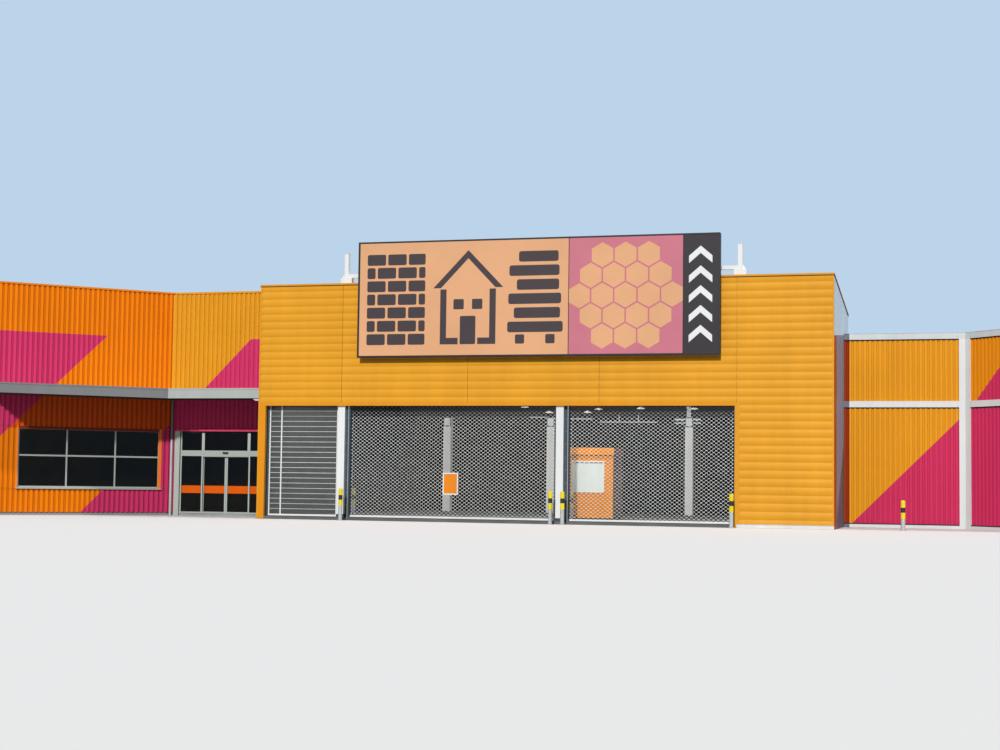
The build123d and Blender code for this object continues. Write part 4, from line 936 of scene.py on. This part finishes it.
def house(shapes, left, bottom, width, wall_height, roof_height):
    """A plain gabled house front with a door and two windows left open in it."""
    middle = left + width / 2
    right = left + width
    eaves, thick, gable = 0.28, 0.3, 0.24
    top = bottom + wall_height
    roof = [
        (left - eaves, top),
        (left - eaves + thick, top),
        (middle, top + roof_height - thick),
        (right + eaves - thick, top),
        (right + eaves, top),
        (middle, top + roof_height),
    ]
    shapes.plate(front, roof, FILM)
    for along in ((left, left + gable), (right - gable, right)):
        shapes.block(front, along, FILM, (bottom, top - 0.05))
    for along in ((left + gable, middle - 0.38), (middle + 0.38, right - gable)):
        shapes.block(front, along, FILM, (bottom, bottom + gable))
    rounded_plate(shapes, about(middle, 0.3), (bottom, bottom + 1.05), 0.05)
    for offset in (-0.36, 0.36):
        rounded_plate(shapes, about(middle + offset, 0.2), (bottom + 1.3, bottom + 1.68), 0.04)


def plank_stack(shapes, left, bottom):
    """Boards on two bearers, drawn as long rounded bars of different lengths."""
    for row, length in enumerate(PLANKS):
        start = left + (PLANKS[0] - length) * (0.7 if row % 2 else 0.3)
        z = bottom + 0.42 + row * 0.52
        rounded_plate(shapes, (start, start + length), (z, z + 0.39), 0.08)
    for offset in (0.3, 1.45):
        rounded_plate(shapes, (left + offset, left + offset + 0.35), (bottom, bottom + 0.34), 0.05)


def hexagon(shapes, t, z, radius):
    turns = [radians(60 * n + 30) for n in range(6)]
    shapes.plate(front, [(t + radius * cos(turn), z + radius * sin(turn)) for turn in turns], FILM)


def build_sign():
    marks, pavers, arrows, trims = Shapes(), Shapes(), Shapes(), Shapes()
    bottom = SIGN_HEIGHTS[0] + 0.4
    brick_stack(marks, -6.4, bottom, courses=7, length=0.73, height=0.41, gap=0.09, width=2.3)
    house(marks, -3.5, bottom, width=2.15, wall_height=2.1, roof_height=1.4)
    plank_stack(marks, -0.9, bottom)
    make_piece("sign_pictures", marks, "sign_charcoal", "sign_dark")
    middle = ((SIGN_EDGES[1] + SIGN_EDGES[2]) / 2, sum(SIGN_HEIGHTS) / 2)
    for row in (-2, -1, 0, 1, 2):
        count = 5 - abs(row)
        for column in range(count):
            t = middle[0] + (column - (count - 1) / 2) * PAVER_RADIUS * 1.86
            hexagon(pavers, t, middle[1] + row * PAVER_RADIUS * 1.61, PAVER_RADIUS)
    make_piece("sign_pavers", pavers, "sign_peach")
    centre = (SIGN_EDGES[2] + SIGN_EDGES[3]) / 2
    for number in range(5):
        z = SIGN_HEIGHTS[0] + 0.38 + number * 0.71
        arrows.plate(front, [(centre + across, z + rise) for across, rise in CHEVRON], FILM)
    make_piece("sign_chevrons", arrows, "sign_chalk", "white_panel")
    for edge in SIGN_EDGES[1:3]:
        trims.block(front, about(edge, 0.014), (FILM[0] - 0.003, FILM[1]), SIGN_HEIGHTS)
    low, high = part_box("sign_box")
    for rim, depth, width in SIGN_RIMS:
        trims.border(front, (low.x - rim, high.x + rim), (low.z - rim, high.z), depth, width)
    make_piece("sign_edges", trims, "black_frame", bevel=0.004)


def build_sign_supports():
    steel, bolts = Shapes(), Shapes()
    for place in SIGN_POSTS:
        for side in (-1, 1):
            near = place + side * 0.07
            reach = sorted((near, near + side * 0.012))
            steel.block(front, reach, (0.04, 0.22), (9.19, 10.14))
            gusset = [(near, 9.19), (near + side * 0.14, 9.19), (near, 9.39)]
            steel.plate(front, gusset, (0.12, 0.135))
            for d in (0.09, 0.25):
                bolts.turned(front.point(place + side * 0.18, d, PORTAL_HEIGHT + 0.2), SIGN_BOLT, 6)
        steel.block(front, about(place, 0.09), (0.04, 0.22), (10.12, 10.14))
    for place in steps(*SIGN_POSTS, 1.25):
        steel.block(front, about(place, 0.006), (0.055, 0.205), (9.17, 9.345))
    make_piece("sign_post_plates", steel, "white_paint", bevel=0.002)
    make_piece("sign_post_bolts", bolts, "bolt_steel", "zinc")


# ---- portal and hall shell ----
LAP = 0.003
PLINTH_TOP = 0.13
SHEET_PITCH = 0.25
RIB_DEPTH = 0.03
RIB_SHARES = (0.44, 0.56, 0.88)
PORTAL_CAP_JOINTS = (-10.0, -7.5, -2.5, 2.5, 7.5, 10.0)
SIDE_CAP_JOINTS = ((2.2, (-10.923, -10.6)), (2.2, (10.6, 10.923)), (4.3, (10.6, 10.923)))


def portal_top(depth):
    return PORTAL_HEIGHT + (PORTAL_REAR_HEIGHT - PORTAL_HEIGHT) * depth / PORTAL_DEPTH


def on_slope(near, far, low, high):
    """The side outline of a strip along the portal's slope, from a low to a high offset."""
    return [(d, portal_top(d) + z) for d, z in ((near, low), (far, low), (far, high), (near, high))]


def cap_joints(shapes, wall, places, top):
    """Short straps over a wall's cap, bent down in front of it."""
    fold = top - CAP - 0.006
    strap = [
        (-OVERHANG - LAP, fold),
        (-OVERHANG - LAP, top + LAP),
        (WALL + LAP, top + LAP),
        (WALL + LAP, top),
        (-OVERHANG, top),
        (-OVERHANG, fold),
    ]
    for t in places:
        shapes.bar(wall, about(t, 0.05), strap)


def ribbed_sheet(shapes, wall, along, inward, heights):
    """A sheet with upright ribs: crests at the nearer depth, valleys behind them."""
    crest, valley = inward[0], inward[0] + RIB_DEPTH
    outline = []
    count = round((along[1] - along[0]) / SHEET_PITCH)
    step = (along[1] - along[0]) / count
    fall, low, rise = (share * step for share in RIB_SHARES)
    for number in range(count):
        start = along[0] + number * step
        outline += [(start, crest), (start + fall, crest), (start + low, valley), (start + rise, valley)]
    outline += [(along[1], crest), (along[1], inward[1]), (along[0], inward[1])]
    shapes.prism(wall, outline, heights)


def build_portal():
    seams, drips = Shapes(), Shapes()
    cap_joints(seams, front, PORTAL_CAP_JOINTS, PORTAL_HEIGHT)
    for depth, along in SIDE_CAP_JOINTS:
        near, far = about(depth, 0.05)
        high, low = portal_top(near), portal_top(far)
        seams.bar(front, along, [(near, high), (near, high + LAP), (far, low + LAP), (far, low)])
    make_piece("portal_cap_joints", seams, "cap_orange", "orange_trim")
    cap_foot = PORTAL_HEIGHT - CAP
    low, high = cap_foot - 0.012, cap_foot + 0.006
    # painted shade: the dark drips stand for the shadow line under the caps
    drip = [(-0.035, low), (-0.02, high), (-0.01, high), (-0.02, low)]
    drips.bar(front, about(0, HALF + 0.02), drip)
    drips.bar(front, (HALF, HALF + 0.028), on_slope(0.0, PORTAL_DEPTH, -CAP - 0.02, -CAP))
    make_piece("portal_drips", drips, "shaded_dark_steel", "steel_paint")
    trims = (
        ((7.43, 7.60), (-0.004, 0.03), (PLINTH_TOP, LINTEL + 0.1)),
        ((-HALF, -HALF + 0.05), (-0.006, 0.02), (0.01, cap_foot)),
        ((HALF - 0.05, HALF), (-0.006, 0.02), (PLINTH_TOP, cap_foot)),
        ((-HALF + 0.05, 7.43), (-0.012, 0.0), (LINTEL, LINTEL + 0.025)),
    )
    block_piece("portal_corner_trims", front, trims, "trim_orange", "orange_trim", bevel=0.003)
    lip = ((7.5, HALF + 0.004), (-0.008, 0.0), (PLINTH_TOP - 0.015, PLINTH_TOP + 0.005))
    block_piece("plinth_lip", front, [lip], "zinc", bevel=0.002)


def build_shell():
    sheets, grey, trims = Shapes(), Shapes(), Shapes()
    for along, bottom in (((-10.58, -9.4), BASE), ((-9.4, -5.4), LINTEL), ((-5.4, 10.58), BASE)):
        ribbed_sheet(sheets, rear, along, (0.0, 0.06), (bottom, 6.4))
    ribbed_sheet(sheets, hall_right, (6.22, 17.98), (-0.015, 0.02), (BASE, 6.54))
    make_piece("hall_sheets", sheets, "end_orange", "orange_sheet")
    ribbed_sheet(grey, portal_rear, (-10.58, 10.58), (-0.035, 0.0), (HALL_HEIGHT, 8.05))
    make_piece("portal_rear_sheets", grey, "pale_sheet")
    trims.block(front, (-INNER, HALF + 0.02), (HALL_REAR, HALL_DEPTH), (HALL_HEIGHT, 6.65))
    trims.block(front, (INNER, HALF + 0.02), (PORTAL_DEPTH, HALL_REAR), (HALL_HEIGHT, 6.65))
    trims.block(rear, (-HALF, -INNER), (-0.005, 0.05), (0.0, HALL_HEIGHT))
    trims.block(rear, (10.59, HALF), (-0.005, 0.0), (0.0, 8.4))
    make_piece("hall_trims", trims, "cap_orange", "orange_trim", bevel=0.003)


SEAM_PITCH = 1.5
SEAM_HALF = 0.03
SEAM_HEIGHT = 0.004
UPSTAND = 0.15


def seam_strips(shapes, along, reach, height):
    """Welded seams across a flat roof."""
    for t in steps(*along, SEAM_PITCH):
        shapes.block(front, about(t, SEAM_HALF), reach, (height, height + SEAM_HEIGHT))


def build_roofs():
    seams = Shapes()
    seam_strips(seams, (-INNER, INNER), (PORTAL_DEPTH, HALL_REAR), HALL_HEIGHT)
    seam_strips(seams, (-20.9, -HALF), (2.55, 17.65), STORE_ROOF_TOP)
    for t in steps(-INNER, INNER, SEAM_PITCH):
        seams.bar(front, about(t, SEAM_HALF), on_slope(0.3, 5.96, -0.2, -0.2 + SEAM_HEIGHT))
    make_piece("roof_seams", seams, "roof_membrane")
    upstands = (
        ((-INNER, INNER), (PORTAL_DEPTH, 6.27), (HALL_HEIGHT, HALL_HEIGHT + UPSTAND)),
        ((-21.0, -HALF), (17.62, HALL_REAR), (STORE_ROOF_TOP, STORE_ROOF_TOP + UPSTAND)),
        ((-10.98, -10.88), (2.5, HALL_REAR), (STORE_ROOF_TOP, STORE_ROOF_TOP + UPSTAND)),
    )
    block_piece("roof_upstands", front, upstands, "roof_membrane", bevel=0.01)


# ---- store wing ----
RIB_PITCH = 0.2
FIRST_CREST = 0.22 * RIB_PITCH
SHEET_SCREW = 0.008
UPPER_SCREWS = (5.07, 6.32, 7.62, 8.86)
LOWER_SCREWS = (0.18, 0.96, 3.5, 4.52)
CORNER_STRIP = [(-0.05, 0.0), (0.05, 0.0), (0.05, -0.006), (0, -0.02), (-0.05, -0.03)]


def build_store_trims():
    rows = (
        ("store", store, STORE_FACE, UPPER_SCREWS),
        ("angled", angled, STORE_ANGLED, LOWER_SCREWS + UPPER_SCREWS),
    )
    for name, wall, length, levels in rows:
        screws = Shapes()
        for z in levels:
            for number in range(int(length / RIB_PITCH)):
                screws.screw(wall, FIRST_CREST + number * RIB_PITCH, 0.0, z, SHEET_SCREW)
        make_piece(name + "_screws", screws, name + "_orange", "orange_sheet")
    caps, corner = Shapes(), Shapes()
    cap_joints(caps, store, (1.6, 3.2), STORE_HEIGHT)
    cap_joints(caps, angled, (1.2, 3.3, 5.4), STORE_HEIGHT)
    make_piece("store_cap_joints", caps, "cap_orange", "orange_trim")
    corner.prism(store, CORNER_STRIP, (4.82, 8.92))
    make_piece("corner_strip", corner, "store_orange", "orange_sheet")


CANOPY_OUT = -2.2
CANOPY_EDGE = CANOPY_OUT - 0.012
CANOPY_BOTTOM = 4.62
CANOPY_TOP = 4.99
DECK_BOTTOM = 4.705
DECK_TOP = 4.905
CANOPY_RIB_PITCH = 0.2
CANOPY_JOINT_PITCH = 1.6
CANOPY_LAMP = ((0.0, 0.1), (-0.02, 0.16), (-0.07, 0.15), (-0.11, 0.09), (-0.125, 0.03))


def canopy_run(shapes, outer, inner, heights):
    """A strip along both canopy faces between two depths, mitred at the corner."""
    near, far = -outer * MITRE, -inner * MITRE
    square = [(near, outer), (STORE_FACE, outer), (STORE_FACE, inner), (far, inner)]
    shapes.prism(store, square, heights)
    tilted = [(0.02, outer), (STORE_ANGLED - near, outer), (STORE_ANGLED - far, inner), (0.02, inner)]
    shapes.prism(angled, tilted, heights)


def build_canopy():
    edges, joints, ribs, gutter, lamp = Shapes(), Shapes(), Shapes(), Shapes(), Shapes()
    canopy_run(edges, CANOPY_EDGE, CANOPY_OUT + 0.09, (CANOPY_TOP, CANOPY_TOP + 0.012))
    canopy_run(edges, CANOPY_EDGE, CANOPY_OUT + 0.004, (CANOPY_BOTTOM - 0.012, CANOPY_BOTTOM + 0.03))
    canopy_run(edges, CANOPY_EDGE, CANOPY_OUT, (CANOPY_TOP - 0.05, CANOPY_TOP))
    make_piece("canopy_edges", edges, "canopy_grey", bevel=0.003)
    for wall, start, end in ((store, 0.95, STORE_FACE), (angled, 0.0, 6.45)):
        for t in steps(start, end, CANOPY_JOINT_PITCH):
            joints.block(wall, about(t, 0.02), (CANOPY_OUT - LAP, CANOPY_OUT), (4.65, 4.94))
    make_piece("canopy_joints", joints, "canopy_grey")
    # painted shade: the soffit ribs are dark
    for depth in steps(-2.12, 0.0, CANOPY_RIB_PITCH):
        canopy_run(ribs, *about(depth, 0.035), (CANOPY_BOTTOM + 0.01, DECK_BOTTOM))
    make_piece("canopy_soffit_ribs", ribs, "canopy_soffit", "canopy_grey")
    canopy_run(gutter, CANOPY_OUT + 0.08, CANOPY_OUT + 0.1, (DECK_TOP, DECK_TOP + 0.06))
    canopy_run(gutter, CANOPY_OUT + 0.24, CANOPY_OUT + 0.26, (DECK_TOP, DECK_TOP + 0.05))
    canopy_run(gutter, -0.05, 0.0, (DECK_TOP, DECK_TOP + 0.12))
    make_piece("canopy_gutter", gutter, "zinc")
    lamp.turned(store.point(4.2, -1.1, DECK_BOTTOM - 0.02), CANOPY_LAMP, 24)
    make_piece("canopy_lamp", lamp, "lamp_glass", "white_panel", smooth=True)


WINDOW_XS = (1.28, 3.19, 5.12, 6.93)
WINDOW_ZS = (1.07, 2.32, 3.39)
FRAME = 0.06
GASKET_DEPTH = (0.094, 0.105)
GASKET_WIDTH = 0.014
REVEAL_DEPTH = (-0.004, 0.085)


def clear_ranges(lines):
    """The clear widths between a frame's lines: whole bars at its ends, half bars within."""
    widths = [FRAME] + [FRAME / 2] * (len(lines) - 2) + [FRAME]
    spans = zip(lines, lines[1:], widths, widths[1:])
    return [(low + before, high - after) for low, high, before, after in spans]


def pane_ranges(xs, zs):
    """Clear panes between a frame's lines, as ranges along the wall and in height."""
    return [(along, heights) for along in clear_ranges(xs) for heights in clear_ranges(zs)]


def build_window():
    gaskets, sill = Shapes(), Shapes()
    for along, heights in pane_ranges(WINDOW_XS, WINDOW_ZS):
        gaskets.border(angled, along, heights, GASKET_DEPTH, GASKET_WIDTH)
    make_piece("window_gaskets", gaskets, "rubber", "dark_paint")
    left, right = WINDOW_XS[0], WINDOW_XS[-1]
    low, high = WINDOW_ZS[0], WINDOW_ZS[-1]
    reveals = (
        ((left - 0.06, left), REVEAL_DEPTH, (low - 0.02, high + 0.06)),
        ((right - 0.05, right + 0.06), REVEAL_DEPTH, (low - 0.02, high + 0.06)),
    )
    block_piece("window_reveals", angled, reveals, "reveal_orange", "orange_trim", bevel=0.003)
    head = ((left, right - 0.05), REVEAL_DEPTH, (high - 0.055, high + 0.06))
    block_piece("window_head", angled, [head], "shaded_window_head", "orange_trim", bevel=0.003)
    profile = ((-0.06, -0.05), (-0.06, -0.02), (0.09, 0.005), (0.09, -0.02), (-0.045, -0.035))
    sill.bar(angled, (left - 0.08, right + 0.08), [(d, low + z) for d, z in profile])
    make_piece("window_sill", sill, "window_grey", bevel=0.002)


BAND = (0.91, 1.21)
DOORWAY = (1.36, 3.36)
STOREFRONT = (0.36, 4.78)
OPERATOR = (2.43, 2.64)
MEMBER = (0.42, 4.72)


def build_storefront():
    gaskets, bands = Shapes(), Shapes()
    panes = pane_ranges((STOREFRONT[0], DOORWAY[0]), (FLOOR, OPERATOR[0], STORE_HEAD))
    panes += pane_ranges((DOORWAY[1], STOREFRONT[1]), (FLOOR, OPERATOR[0], STORE_HEAD))
    panes += pane_ranges(DOORWAY, (OPERATOR[0], STORE_HEAD))
    for along, heights in panes:
        gaskets.border(store, along, heights, GASKET_DEPTH, GASKET_WIDTH)
        if heights[0] < BAND[0]:
            bands.block(store, along, (0.101, 0.104), BAND)
    make_piece("storefront_gaskets", gaskets, "rubber", "dark_paint")
    make_piece("storefront_bands", bands, "safety_band", "orange_trim")
    trims = (
        ((0.0, STORE_FACE), (0.0, 0.06), (STORE_HEAD, STORE_HEAD + 0.055)),
        ((1.2, STORE_FACE), (-0.06, 0.0), (STORE_HEAD, STORE_HEAD + 0.07)),
    )
    block_piece("storefront_head", store, trims, "head_trim", "orange_trim", bevel=0.003)
    # painted shade: a dark strip over the storefront's head member
    head_shade = (MEMBER, (0.07, 0.09), (STORE_HEAD - FRAME, STORE_HEAD))
    block_piece("storefront_head_shade", store, [head_shade], "rubber", "dark_paint")
    header = (
        (MEMBER, (0.066, 0.08), (2.455, 2.62)),
        (DOORWAY, (0.05, 0.08), (2.375, 2.455)),
        ((STOREFRONT[0], STORE_FACE), (0.03, 0.08), (FLOOR, 0.14)),
    )
    block_piece("storefront_header", store, header, "window_grey", bevel=0.002)
    middle = sum(DOORWAY) / 2
    sensor = (
        (about(middle, 0.11), (0.0, 0.066), (2.50, 2.56)),
        (about(middle, 0.09), (-0.012, 0.0), (2.51, 2.545)),
    )
    block_piece("door_sensor", store, sensor, "rubber", "dark_paint", bevel=0.006)


LEAVES = {"left": (1.33, 2.355), "right": (2.365, 3.39)}
LEAF_MIDDLE = 0.17
LEAF_HEIGHTS = (0.11, 2.42)
STILE = 0.06
LEAF_RUBBER = 0.003


def build_leaves():
    for side, (start, end) in LEAVES.items():
        body = side + "_leaf"
        clear = (start + STILE, end - STILE)
        heights = (LEAF_HEIGHTS[0] + STILE, LEAF_HEIGHTS[1] - STILE)
        band = (clear, (LEAF_MIDDLE - 0.007, LEAF_MIDDLE - 0.004), BAND)
        block_piece("leaf_band_" + side, store, [band], "safety_band", "orange_trim", body)
        rubber = Shapes()
        rubber.border(store, clear, heights, (LEAF_MIDDLE - 0.016, LEAF_MIDDLE - 0.004), 0.012)
        meeting = (end - LEAF_RUBBER, end) if side == "left" else (start, start + LEAF_RUBBER)
        rubber.block(store, meeting, about(LEAF_MIDDLE, 0.015), LEAF_HEIGHTS)
        make_piece("leaf_rubber_" + side, rubber, "rubber", "dark_paint", body)


PIPE_CLIPS = (0.62, 1.87, 3.12, 4.32)
PIPE_JOINTS = (1.02, 2.72)
CLIP_RADIUS = 0.059
SOCKET_RADIUS = 0.0585


def build_downpipe():
    rings = Shapes()
    low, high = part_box("downpipe")
    centre = ((low.x + high.x) / 2, (low.y + high.y) / 2, 0)
    for z in PIPE_CLIPS:
        rings.turned(centre, [(level, CLIP_RADIUS) for level in about(z, 0.018)], 24)
    for z in PIPE_JOINTS:
        rings.turned(centre, ((z, SOCKET_RADIUS), (z + 0.06, SOCKET_RADIUS), (z + 0.07, 0.0555)), 24)
    make_piece("downpipe_clips", rings, "pipe_zinc", "zinc")


# ---- yard wall ----
YARD_POST = 0.22
YARD_RIB_PITCH = 0.183
YARD_CAP = (-0.015, 0.215)
YARD_RAILS = (4.45, 6.97)
YARD_BOLTS = (4.52, 4.61, 7.04, 7.12)
YARD_SCREWS = (0.24, 4.34, 4.76, 6.87)


def build_yard_caps():
    caps = Shapes()
    near, far = YARD_CAP
    heights = (YARD_HEIGHT, YARD_HEIGHT + 0.012)
    bend = [(YARD_FACE + near * MITRE, near), (YARD_FACE + far * MITRE, far)]
    caps.prism(yard, [(0.0, near), *bend, (0.0, far)], heights)
    outline = [(-near * MITRE, near), (YARD_END, near), (YARD_END, far), (-far * MITRE, far)]
    caps.prism(yard_angled, outline, heights)
    make_piece("yard_caps", caps, "yard_frame", "pale_grey_paint", bevel=0.003)


def build_yard():
    build_yard_caps()
    dark, screws, bolts, plates = Shapes(), Shapes(), Shapes(), Shapes()
    bays = ((yard, (0.0, YARD_FACE - YARD_POST)), (yard_angled, (YARD_POST, YARD_ANGLED - YARD_POST)))
    for wall, along in bays:
        # the dark strips under the rails are painted shade; the strip at the foot is a flashing
        for z in YARD_RAILS:
            dark.block(wall, along, (0.045, 0.06), (z - 0.035, z))
        dark.block(wall, along, (0.03, 0.06), (BASE, BASE + 0.04))
        for t in (along[0] + 0.05, along[1] - 0.05):
            for z in YARD_BOLTS:
                bolts.screw(wall, t, 0.0, z, 0.011)
        first = int(along[0] / YARD_RIB_PITCH) + 1
        for number in range(first, first + int((along[1] - along[0]) / YARD_RIB_PITCH)):
            t = number * YARD_RIB_PITCH + 0.04
            if t < along[1]:
                for z in YARD_SCREWS:
                    screws.screw(wall, t, 0.06, z, SHEET_SCREW)
    for t in (0.0, YARD_ANGLED - YARD_POST):
        plates.block(yard_angled, (t + 0.01, t + YARD_POST - 0.01), (-0.012, 0.0), (0.0, 0.25))
    make_piece("yard_rail_shade_and_flashing", dark, "rubber", "dark_paint")
    make_piece("yard_screws", screws, "yard_orange", "orange_sheet")
    make_piece("yard_bolts", bolts, "bolt_steel", "zinc")
    make_piece("yard_post_plates", plates, "yard_frame", "pale_grey_paint", bevel=0.003)


# ---- camera, light and floor ----
CAMERA_PLACE = (16.05, -68.9, 1.53)
CAMERA_YAW = 16.107
CAMERA_TILT = 3.599
CAMERA_ROLL = 0.727
LENS = 60.9
SENSOR = 36.0
FAR_CLIP = 1000.0
SKY = 0.9
SKY_COLOUR = (0.56, 0.73, 0.91, 1)
LIGHT_COLOUR = (0.97, 0.985, 1.0, 1)
AMBIENT = 0.24
KEY_STRENGTH = 2.8
KEY_ELEVATION = 28.5
KEY_TURN = -1.5
SIDE_STRENGTH = 1.55
SIDE_ELEVATION = 43.0
SOFTNESS = 3.0
HALL_LAMP_SIZE = (19.0, 1.2)
HALL_LAMP_POWER = 1250.0
HALL_LAMP_PLACE = (0.0, -7.9, 5.2)
HALL_LAMP_TRAVEL = (0.0, 1.0, -0.12)
FLOOR_SIZE = 600.0
FLOOR_LEVEL = -0.004
FLOOR_SEEN = 0.82
FLOOR_LIT = 0.32


def build_camera():
    camera = bpy.data.cameras.new("camera")
    camera.lens = LENS
    camera.sensor_width = SENSOR
    camera.clip_end = FAR_CLIP
    obj = bpy.data.objects.new("camera", camera)
    link(obj)
    yaw, tilt = radians(CAMERA_YAW), radians(CAMERA_TILT)
    look = Vector((-sin(yaw) * cos(tilt), cos(yaw) * cos(tilt), sin(tilt)))
    turn = look.to_track_quat("-Z", "Y").to_matrix().to_4x4()
    roll = Matrix.Rotation(radians(CAMERA_ROLL), 4, "Z")
    obj.matrix_world = Matrix.Translation(CAMERA_PLACE) @ turn @ roll
    bpy.context.scene.camera = obj


def add_light(name, kind, energy, travel, place=(0, 0, 0)):
    """A lamp that shines along a direction."""
    light = bpy.data.lights.new(name, kind)
    light.energy = energy
    obj = bpy.data.objects.new(name, light)
    obj.location = place
    obj.rotation_mode = "QUATERNION"
    obj.rotation_quaternion = Vector(travel).to_track_quat("-Z", "Y")
    link(obj)
    return light


def build_lamps():
    """Two soft suns, and a long lamp behind the lintel that lights the hall."""
    up, turn, low = radians(KEY_ELEVATION), radians(KEY_TURN), radians(SIDE_ELEVATION)
    key_travel = (sin(turn) * cos(up), cos(turn) * cos(up), -sin(up))
    key = add_light("key", "SUN", KEY_STRENGTH, key_travel)
    side = add_light("side", "SUN", SIDE_STRENGTH, (-cos(low), 0.0, -sin(low)))
    for sun in (key, side):
        sun.angle = radians(SOFTNESS)
    hall = add_light("hall", "AREA", HALL_LAMP_POWER, HALL_LAMP_TRAVEL, HALL_LAMP_PLACE)
    hall.shape = "RECTANGLE"
    hall.size, hall.size_y = HALL_LAMP_SIZE


def build_sky():
    """A world that looks like a pale sky, and lights the scene with less."""
    world = bpy.data.worlds.new("world")
    bpy.context.scene.world = world
    sky = Nodes(world)
    seen = sky.seen_rays()
    background = sky.tree.nodes["Background"].inputs
    sky.feed(background["Color"], sky.mixed(seen, LIGHT_COLOUR, SKY_COLOUR))
    sky.feed(background["Strength"], sky.ranged(seen, AMBIENT, SKY, WHOLE_RANGE))


def build_floor():
    """A wide plain floor that looks pale, and throws back less light."""
    mesh = bpy.data.meshes.new("floor")
    work = bmesh.new()
    bmesh.ops.create_grid(work, x_segments=1, y_segments=1, size=FLOOR_SIZE)
    work.to_mesh(mesh)
    work.free()
    obj = bpy.data.objects.new("floor", mesh)
    obj.location = (0, 0, FLOOR_LEVEL)
    link(obj)
    material = bpy.data.materials.new("floor")
    ground = Nodes(material)
    shader = ground.tree.nodes["Principled BSDF"].inputs
    shader["Roughness"].default_value = 0.9
    shader["Specular IOR Level"].default_value = 0.1
    shade = ground.ranged(ground.seen_rays(), FLOOR_LIT, FLOOR_SEEN, WHOLE_RANGE)
    ground.feed(shader["Base Color"], shade)
    mesh.materials.append(material)


make_shell_coats()
make_sheet_coats()
make_trim_coats()
make_fitting_coats()
make_sign_coats()
dress_nodes()
build_gates()
build_gate_fittings()
build_bollards()
build_hall()
build_booth()
build_sign()
build_sign_supports()
build_portal()
build_shell()
build_roofs()
build_store_trims()
build_canopy()
build_window()
build_storefront()
build_leaves()
build_downpipe()
build_yard()
build_camera()
build_lamps()
build_sky()
build_floor()

bpy.context.scene.view_settings.view_transform = "Standard"
